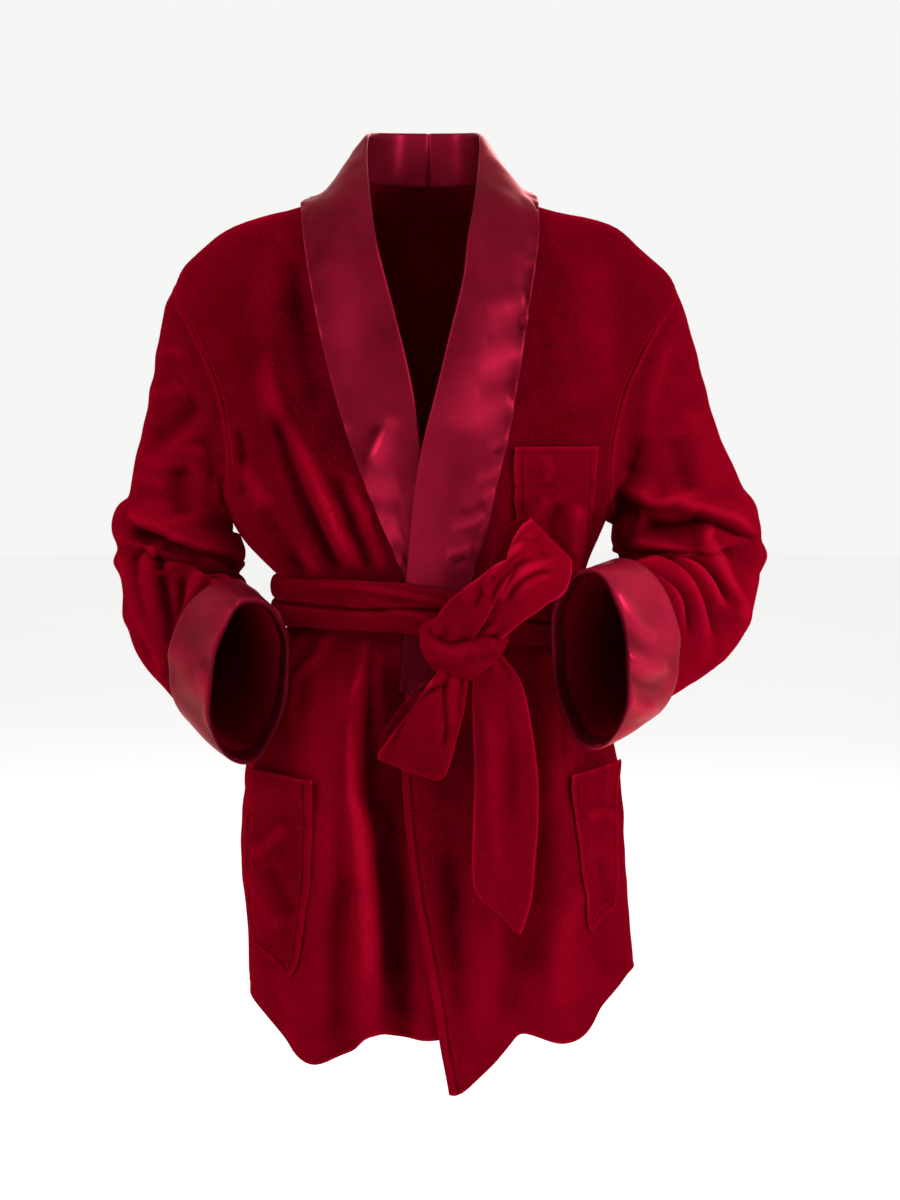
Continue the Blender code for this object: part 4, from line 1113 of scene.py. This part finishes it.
# ring of the sleeve and distance off it, from the outer edge over the lip to the inner edge
CUFF_ROWS = np.array((
    (12.3, 4.6), (13.0, 4.3), (13.5, 3.7), (13.9, 2.6), (14.1, 1.2), (14.1, -1.0),
    (13.95, -2.0), (13.65, -2.3),
))
RIGHT_CUFF_FOLDS = (
    (2.2, 7, 6, ((232, 606), (250, 604), (268, 610), (286, 628))),
    (-2.0, 5, 5, ((226, 620), (246, 616), (266, 622), (280, 636))),
    (2.0, 6, 6, ((196, 664), (206, 684), (212, 706), (220, 728))),
    (-1.8, 5, 5, ((206, 652), (214, 674), (220, 700), (228, 722))),
)
LEFT_CUFF_FOLDS = (
    (2.8, 6, 6, ((610, 584), (626, 604), (640, 628), (660, 640))),
    (-2.6, 5, 5, ((600, 590), (618, 616), (634, 642), (652, 652))),
    (3.0, 7, 6, ((628, 650), (642, 664), (656, 668), (668, 664))),
    (-3.0, 5, 5, ((624, 668), (638, 682), (652, 688), (664, 684))),
    (2.6, 6, 6, ((616, 690), (632, 704), (646, 708), (658, 702))),
    (-2.2, 5, 5, ((604, 704), (620, 718), (638, 724), (652, 718))),
)
for side, word, lines in ((-1, "right", RIGHT_CUFF_FOLDS), (1, "left", LEFT_CUFF_FOLDS)):
    theta = np.linspace(0, 360, 145)[:-1]
    coarse = np.array([sleeve_point(side, k, theta, off) for k, off in CUFF_ROWS])
    index = np.arange(len(coarse))
    at = np.linspace(0, len(coarse) - 1, 60)
    p = np.stack([[glide(at, index, coarse[:, j, i]) for i in range(3)] for j in range(len(theta))])
    p = p.transpose(2, 0, 1)
    n = facing(p, rows=OUTER_ROWS)
    at = at[:, None]
    outside = 1 - ease(at, 3.6, 4.4)
    t = np.radians(theta)[None]
    folds = drawn_folds_and_light(p, n, lines) * outside
    slack = np.sin(5 * t + 1.5 * np.sin(2 * t) + at) + 0.6 * np.sin(9 * t + 2 * np.sin(3 * t) - 1.4 * at)
    h = np.maximum(folds + 0.8 * slack * outside, -1.2) + 0.6 * bell(at, 0.35)
    lean = (2.4 * np.sin(3 * t + 0.8) + 1.4 * np.sin(7 * t + 2.1)) * ease(at, 1.5, 4.5)
    lip = unit(coarse[4].mean(0) - coarse[0].mean(0))
    p = p + n * h[..., None] + lip * lean[..., None]
    n = facing(p, rows=OUTER_ROWS)
    # painted light and shade: the part tucked inside nearly black as painted shade, the left cuff lighter
    # than the right, lighter on crease ridges, darker in their hollows
    painted_light = 0.02 + 0.09 * folds + (0.42 + 0.16 * side + 0.07 * slack + crest(p, n, 2, True)) * outside
    made = shell("cuff_band_" + word, p, n, painted_light, satin, thick=1.4, closed=True)
    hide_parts("cuff_" + word)

# The patch pockets: velvet with a deep turned hem across the mouth, laid on the fronts and
# stitched down a little inside the sides and the rounded bottom.
POCKET_OFF = 2.35
GUIDES = np.array((
    (-18, 0.50, 0.80, 0.50, 0.82),
    (-112, 0.50, 0.80, 0.48, 0.84),
    (-266, 0.50, 0.80, 0.475, 0.885),
    (-300, 0.50, 0.80, 0.49, 0.885),
    (-322, 0.50, 0.80, 0.475, 0.835),
    (-338, 0.50, 0.80, 0.42, 0.72),
    (-388, 0.50, 0.80, 0.44, 0.72),
    (-480, 0.52, 0.81, 0.54, 0.79),
    (-565, 0.533, 0.815, 0.61, 0.845),
    (-652, 0.527, 0.805, 0.61, 0.825),
    (-722, 0.560, 0.790, 0.615, 0.79),
    (-745, 0.578, 0.775, 0.63, 0.79),
    (-810, 0.58, 0.78, 0.63, 0.80),
), float)
RIGHT_POCKET_FOLDS = (
    (2.0, 7, 7, ((292, 824), (276, 840), (256, 858))),
    (2.0, 7, 8, ((250, 866), (266, 896), (286, 934))),
    (-1.8, 8, 8, ((268, 862), (284, 890), (296, 920))),
)
LEFT_POCKET_FOLDS = (
    (1.8, 6, 6, ((580, 818), (596, 812), (612, 816))),
    (-1.5, 7, 7, ((590, 850), (600, 880), (606, 910))),
)
BREAST_POCKET_FOLDS = (
    (1.8, 6, 7, ((548, 494), (536, 512), (522, 532))),
    (-1.6, 6, 6, ((560, 500), (552, 520), (545, 545))),
    (2.0, 6, 7, ((574, 500), (570, 525), (566, 560))),
    (1.2, 5, 5, ((540, 452), (546, 470), (544, 484))),
)
# name, side, top, bottom, gape at the mouth, hem depth, rounding of the corners, flat size, its own
# folds, those of the front that it lies on
POCKETS = (
    ("right", -1, -565, -745, (3.5, 5.0, 6.0, 4.0), 42, 0.30, (0.10, 0.185),
     RIGHT_POCKET_FOLDS, RIGHT_FRONT_FOLDS),
    ("left", 1, -565, -722, (2.0, 9.0, 15.0, 12.0), 42, 0.30, (0.085, 0.165),
     LEFT_POCKET_FOLDS, LEFT_FRONT_FOLDS),
    ("breast", 1, -266, -388, (1.5, 4.0, 4.0, 1.5), 34, 0.10, (0.085, 0.13),
     BREAST_POCKET_FOLDS, LEFT_FRONT_FOLDS),
)
for word, side, top, bottom, gape, deep, rounding, flat, own, lines in POCKETS:
    a, b = np.meshgrid(gathered(64), gathered(80, 0.6))
    z = top + (bottom - top) * b
    column = 1 if side < 0 else 3
    inner = np.interp(z, GUIDES[::-1, 0], GUIDES[::-1, column])
    outer = np.interp(z, GUIDES[::-1, 0], GUIDES[::-1, column + 1])
    corner = np.clip((b - 0.86) / 0.14, 0, 1)
    narrow = 1 - rounding * (1 - np.sqrt(np.maximum(1 - corner ** 2, 0)))
    share = (inner + outer) / 2 + (a - 0.5) * (outer - inner) * narrow
    p, n, folds = body_panel(side, share, z, lines)
    across, down = spans(p), spans(p, 0)
    to_side = np.minimum(across, across[:, -1:] - across)
    to_rim = np.minimum(to_side, down[-1:] - down)
    mouth = np.exp(-(down / 26.0) ** 1.7)
    gap = np.interp(a, (0, 1 / 3, 2 / 3, 1), gape) * mouth
    full = 1.6 * ease(to_rim, 4, 26)
    own_folds = 1.6 * drawn_folds_and_light(p, n, own) * ease(to_rim, 2, 14)
    marks = stitch_mark(to_rim, 7.0) * ease(down, 0, 10) * 0.7 + stitch_mark(down, deep) * 0.6
    h = POCKET_OFF + gap + full + own_folds + marks + 0.5 * bell(to_rim, 2.5)
    p = p + n * h[..., None]
    n = facing(p, INSIDE)
    # painted light and shade: the left pockets lighter than the right, lighter on fold ridges and on the
    # fuller cloth beside the stitching, darker in creases and stitch lines, painted highlights along the
    # rim and the mouth
    painted_light = 0.42 + 0.04 * side + 0.03 * (folds + own_folds) + 0.15 * np.clip(marks, -1, 1)
    painted_light = painted_light + 2.4 * crest(p, n, 2) + 0.3 * bell(to_rim, 1.8) + 0.3 * bell(down, 1.8)
    made = shell("patch_pocket_" + word, p, n, painted_light, velvet)
    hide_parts("pocket_" + word)
    row = int(np.argmin(np.abs(down.mean(1) - deep)))
    sewn = stitches("hem_stitches_" + word, p[row] + n[row] * 0.85, n[row])

# The belt: one long strip of velvet sewn as a tube and pressed flat. Round the waist it bunches
# into two rolls, one over the other.
BELT_OFF = 4.1
SECTION = (
    (22, 0.8), (18, 3.4), (11, 4.5), (4, 3.2), (0, -0.2), (-4, 3.2), (-11, 4.5), (-18, 3.4), (-22, 0.8),
    (-20, -1.6), (0, -1.9), (20, -1.6),
)
BELT_FOLDS = (
    (1.4, 4, 4, ((296, 588), (340, 586), (380, 590), (430, 600), (470, 614))),
    (1.2, 4, 4, ((380, 608), (410, 613), (440, 626))),
    (1.2, 4, 4, ((520, 606), (545, 601), (570, 598))),
)
turns = np.linspace(-180, 180, 29)[:-1]
rings = []
for phi in turns:
    middle = float(glide(phi, WAIST[:, 0], WAIST[:, 1]))
    reach = max(np.linalg.norm(torso(phi, middle + up)[:2]) for up in (-22, -11, 0, 11, 22))
    reach = reach - np.linalg.norm(torso(phi, middle)[:2])
    n = unit(torso_normal(np.array(phi), np.array(middle)) * np.array((1, 1, 0)))
    far = BELT_OFF + 9.6 * (1 - float(ease(abs(phi), 24, 50))) + reach
    wander = 3.0 * math.sin(math.radians(3 * phi) + 0.7) + 1.5 * math.sin(math.radians(5 * phi))
    ring = []
    for up, out in SECTION:
        rise = up + wander * (1 - (up / 22) ** 2) * (out > -1)
        ring.append(torso(phi, middle) + n * (far + out) + np.array((0, 0, rise)))
    rings.append(ring)


def roll_of_cloth(name, p, lines, uneven, base, crest_shading, reach, loop=False):
    """A closed roll of velvet with its folds, ends joined in a loop or shut by a face each."""
    n = facing(p)
    folds = drawn_folds_and_light(p, n, lines)
    p = p + n * (folds + waver(p, 31, 38, uneven))[..., None]
    n = facing(p)
    # painted light and shade: base sets how lit the piece is painted overall, then lighter on fold ridges,
    # darker in creases
    painted_light = base + 0.04 * folds + crest_shading * crest(p, n, reach, True)
    rows, columns = p.shape[:2]
    p = p.reshape(-1, 3)
    sides = grid_faces(rows, columns, ring=True, loop=loop)
    faces = sides.tolist()
    if not loop:
        faces += [list(range(columns - 1, -1, -1)), list(range((rows - 1) * columns, rows * columns))]
    if not faces_out(sides, p, n):
        faces = [face[::-1] for face in faces]
    return fix_on(name, p, faces, velvet, painted_light)


tube = refine(np.array(rings), 28, 40, closed=True)
around = np.concatenate((tube[-3:], tube, tube[:3]))
tube = refine(around, (len(around) - 1) * 10 + 1, 40)[30:-30]
made = roll_of_cloth("belt_round_waist", tube, BELT_FOLDS, 0.4, 0.31, 2.8, 1, loop=True)
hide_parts("belt_band")

# The knot: the belt's cloth wrapped once round itself and pulled tight, so that its upper turn
# folds over in a mouth above the full lower one.
KNOT = (
    (-6, -139, -431, 6, 8), (1, -142, -434, 15, 18), (13, -144, -439, 23, 26),
    (27, -145, -441, 26, 29), (40, -145, -441, 26, 28), (53, -144, -438, 23, 22),
    (64, -143, -434, 17, 14), (73, -142, -430, 7, 5),
)
KNOT_FOLDS = (
    (-4.2, 3.5, 3.5, ((420, 626), (434, 633), (446, 640), (456, 641), (470, 634), (488, 632), (510, 642))),
    (3.0, 8, 4, ((418, 636), (432, 643), (446, 650), (458, 651), (472, 645), (490, 643), (506, 652))),
    (2.6, 4, 6, ((424, 618), (440, 624), (452, 629), (468, 622), (488, 620), (508, 632))),
    (-1.6, 4, 5, ((498, 648), (486, 656), (474, 660), (462, 660))),
    (-1.8, 5, 5, ((428, 660), (440, 668), (456, 671), (470, 668))),
    (-1.4, 3, 4, ((470, 640), (480, 645), (492, 645))),
)
rings = []
for x, y, z, deep, tall in KNOT:
    ring = []
    for turn in range(10):
        t = math.radians(36 * turn)
        pinch = 1 - 0.12 * math.cos(2 * t + x * 0.05)
        near = 0.8 if math.cos(t) > 0 else pinch
        ring.append((x, y + deep * math.cos(t) * near, z - 2 + 0.9 * tall * math.sin(t) * pinch))
    rings.append(ring)
body = refine(np.array(rings), 64, 72, closed=True)
made = roll_of_cloth("belt_knot_wrap", body, KNOT_FOLDS, 0.6, 0.48, 1.2, 2)
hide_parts("belt_knot")

# The bow's two loops and the belt's two ends: the same doubled velvet strip, springing out of
# the knot. The loops turn over on themselves and the ends are cut to a point.
LOOP_UPPER = (
    (50, -150, -430, -0.7, 0, 0.71, 12, 2), (62, -162, -414, -0.7, 0, 0.71, 15, 4),
    (74, -171, -398, -0.72, 0, 0.69, 18, 6), (86, -177, -382, -0.74, 0, 0.67, 24, 7),
    (96, -177, -367, -0.72, 0, 0.69, 31, 6), (103, -171, -353, -0.70, 0, 0.71, 30, 4),
    (107, -161, -345, -0.70, 0, 0.71, 25, 2), (105, -152, -344, -0.70, 0, 0.71, 25, 0),
    (97, -145, -350, -0.70, 0, 0.71, 29, 0), (83, -139.5, -362, -0.7, 0, 0.71, 26, 0),
    (73, -138.5, -378, -0.7, 0, 0.71, 20, 0), (66, -140.5, -392, -0.7, 0, 0.71, 17, 0),
)
LOOP_LOWER = (
    (28, -152, -455, -0.9, 0, 0.42, 11, 2), (22, -163, -469, -0.9, 0, 0.42, 15, 4),
    (14, -172, -486, -0.91, 0, 0.41, 20, 6), (3, -177, -508, -0.92, 0, 0.39, 25, 7),
    (-7, -175, -529, -0.94, 0, 0.34, 29, 5), (-13, -168, -541, -0.95, 0, 0.31, 30, 3),
    (-16, -160, -546, -0.95, 0, 0.31, 27, 1), (-15, -154, -543, -0.95, 0, 0.31, 28, 0),
    (-11, -150, -528, -0.94, 0, 0.36, 29, 0), (0, -149, -504, -0.91, 0, 0.41, 25, 0),
    (13, -150.3, -486, -0.9, 0, 0.42, 19, 0),
)
END_SHORT = (
    (22, -150, -436, -0.95, 0, 0.3, 17, 2), (24, -160, -425, -0.9, 0, 0.42, 18, 4),
    (31, -171, -411, -0.82, 0, 0.57, 18, 5), (42, -180, -396, -0.76, 0, 0.64, 15, 5),
    (54, -186, -382, -0.74, 0, 0.67, 11, 3), (65, -189, -369, -0.74, 0, 0.67, 8, 1),
    (71, -190, -362, -0.74, 0, 0.67, 5, 0),
)
END_LONG = (
    (55, -146, -444, -0.94, 0, 0.35, 15, 1), (60, -150, -458, -0.98, 0, 0.2, 19, 2),
    (63, -154, -474, -1, 0, 0.1, 22, 2), (66, -160, -502.5, -1, 0, 0.03, 25, 2),
    (70, -163, -547.5, -1, 0, 0, 27, 2), (70, -165, -592.5, -1, 0, 0, 28, 2),
    (68, -166, -632.5, -1, 0, 0, 27, 2), (69, -166, -658.5, -1, 0, 0.06, 24, 1),
    (76, -166, -678.5, -1, 0, 0.3, 12, 0), (81, -166, -692.5, -1, 0, 0.4, 2.5, 0),
)
BOW_FOLDS = (
    (-4.0, 3, 4, ((448, 676), (444, 696), (446, 726), (442, 752))),
    (3.0, 5, 4, ((456, 676), (452, 700), (450, 730))),
    (-3.5, 3, 4, ((452, 680), (428, 692), (408, 712), (390, 748))),
    (3.0, 6, 4, ((440, 678), (416, 690), (398, 710), (382, 744))),
    (-4.0, 3, 3, ((490, 606), (496, 588), (512, 570), (530, 556))),
    (3.5, 5, 4, ((484, 598), (490, 578), (506, 558), (526, 540))),
    (-4.0, 3, 3, ((506, 604), (516, 586), (534, 574), (552, 570))),
    (3.0, 4, 4, ((500, 604), (508, 586), (524, 572), (544, 562))),
    (-2.0, 8, 8, ((532, 534), (542, 548), (546, 562))),
    (2.5, 5, 6, ((462, 606), (472, 586), (488, 566), (506, 552))),
    (-2.5, 4, 4, ((474, 610), (484, 590), (498, 572))),
    (2.2, 7, 7, ((488, 700), (492, 760), (494, 820), (500, 880))),
    (-2.0, 7, 7, ((508, 690), (512, 760), (512, 830))),
)
RIBBONS = (
    ("bow_loop_upper", "belt_loop_upper", LOOP_UPPER, (0.055, 0.20), "folded", 0.66),
    ("bow_loop_lower", "belt_loop_lower", LOOP_LOWER, (0.058, 0.18), "folded", 0.40),
    ("belt_tail_short", "belt_end_short", END_SHORT, (0.036, 0.105), "gathered", 0.46),
    ("belt_tail_long", "belt_end_long", END_LONG, (0.055, 0.23), "hung", 0.50),
)
for name, node, rows, flat, held, ribbon_painted_light in RIBBONS:
    coarse = []
    for x, y, z, ax, ay, az, half, bow in rows:
        along = unit((ax, ay, az)) * half
        shares = np.linspace(-1, 1, 5)
        coarse.append([np.array((x, y - bow * (1 - s * s), z)) + along * s for s in shares])
    p = refine(np.array(coarse), 110, 5)
    at = gathered(34, 0.7) * 4
    p = np.stack([[glide(at, np.arange(5), row[:, i]) for i in range(3)] for row in p])
    p = p.transpose(0, 2, 1)
    n = forward(p, 10, 17)
    folds = drawn_folds_and_light(p, n, BOW_FOLDS)
    across, down = spans(p), spans(p, 0)
    to_side = np.minimum(across, across[:, -1:] - across)
    near = bell(down, 20) + (bell(down[-1:] - down, 16) if "loop" in name else 0)
    share = across / across[:, -1:]
    inner = ease(to_side, 0, 4)
    pleats = 1.4 * near * np.sin(share * 13 + 1.6 * np.sin(down / 11) + 2 * share ** 2) * inner
    p = p + n * (folds * 0.8 + pleats + waver(p, 41, 46, 0.9))[..., None]
    n = forward(p, 10, 17)
    # painted light and shade: each ribbon's own overall level, the upper loop lightest, lighter on fold
    # and pleat ridges and along both edges, darker in creases
    painted_light = ribbon_painted_light + 0.05 * (folds + pleats) + 0.36 * bell(to_side, 1.7) + 2.0 * crest(p, n, 2)
    made = shell(name, p, n, painted_light, velvet, thick=2.2 + inner)
    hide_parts(node)
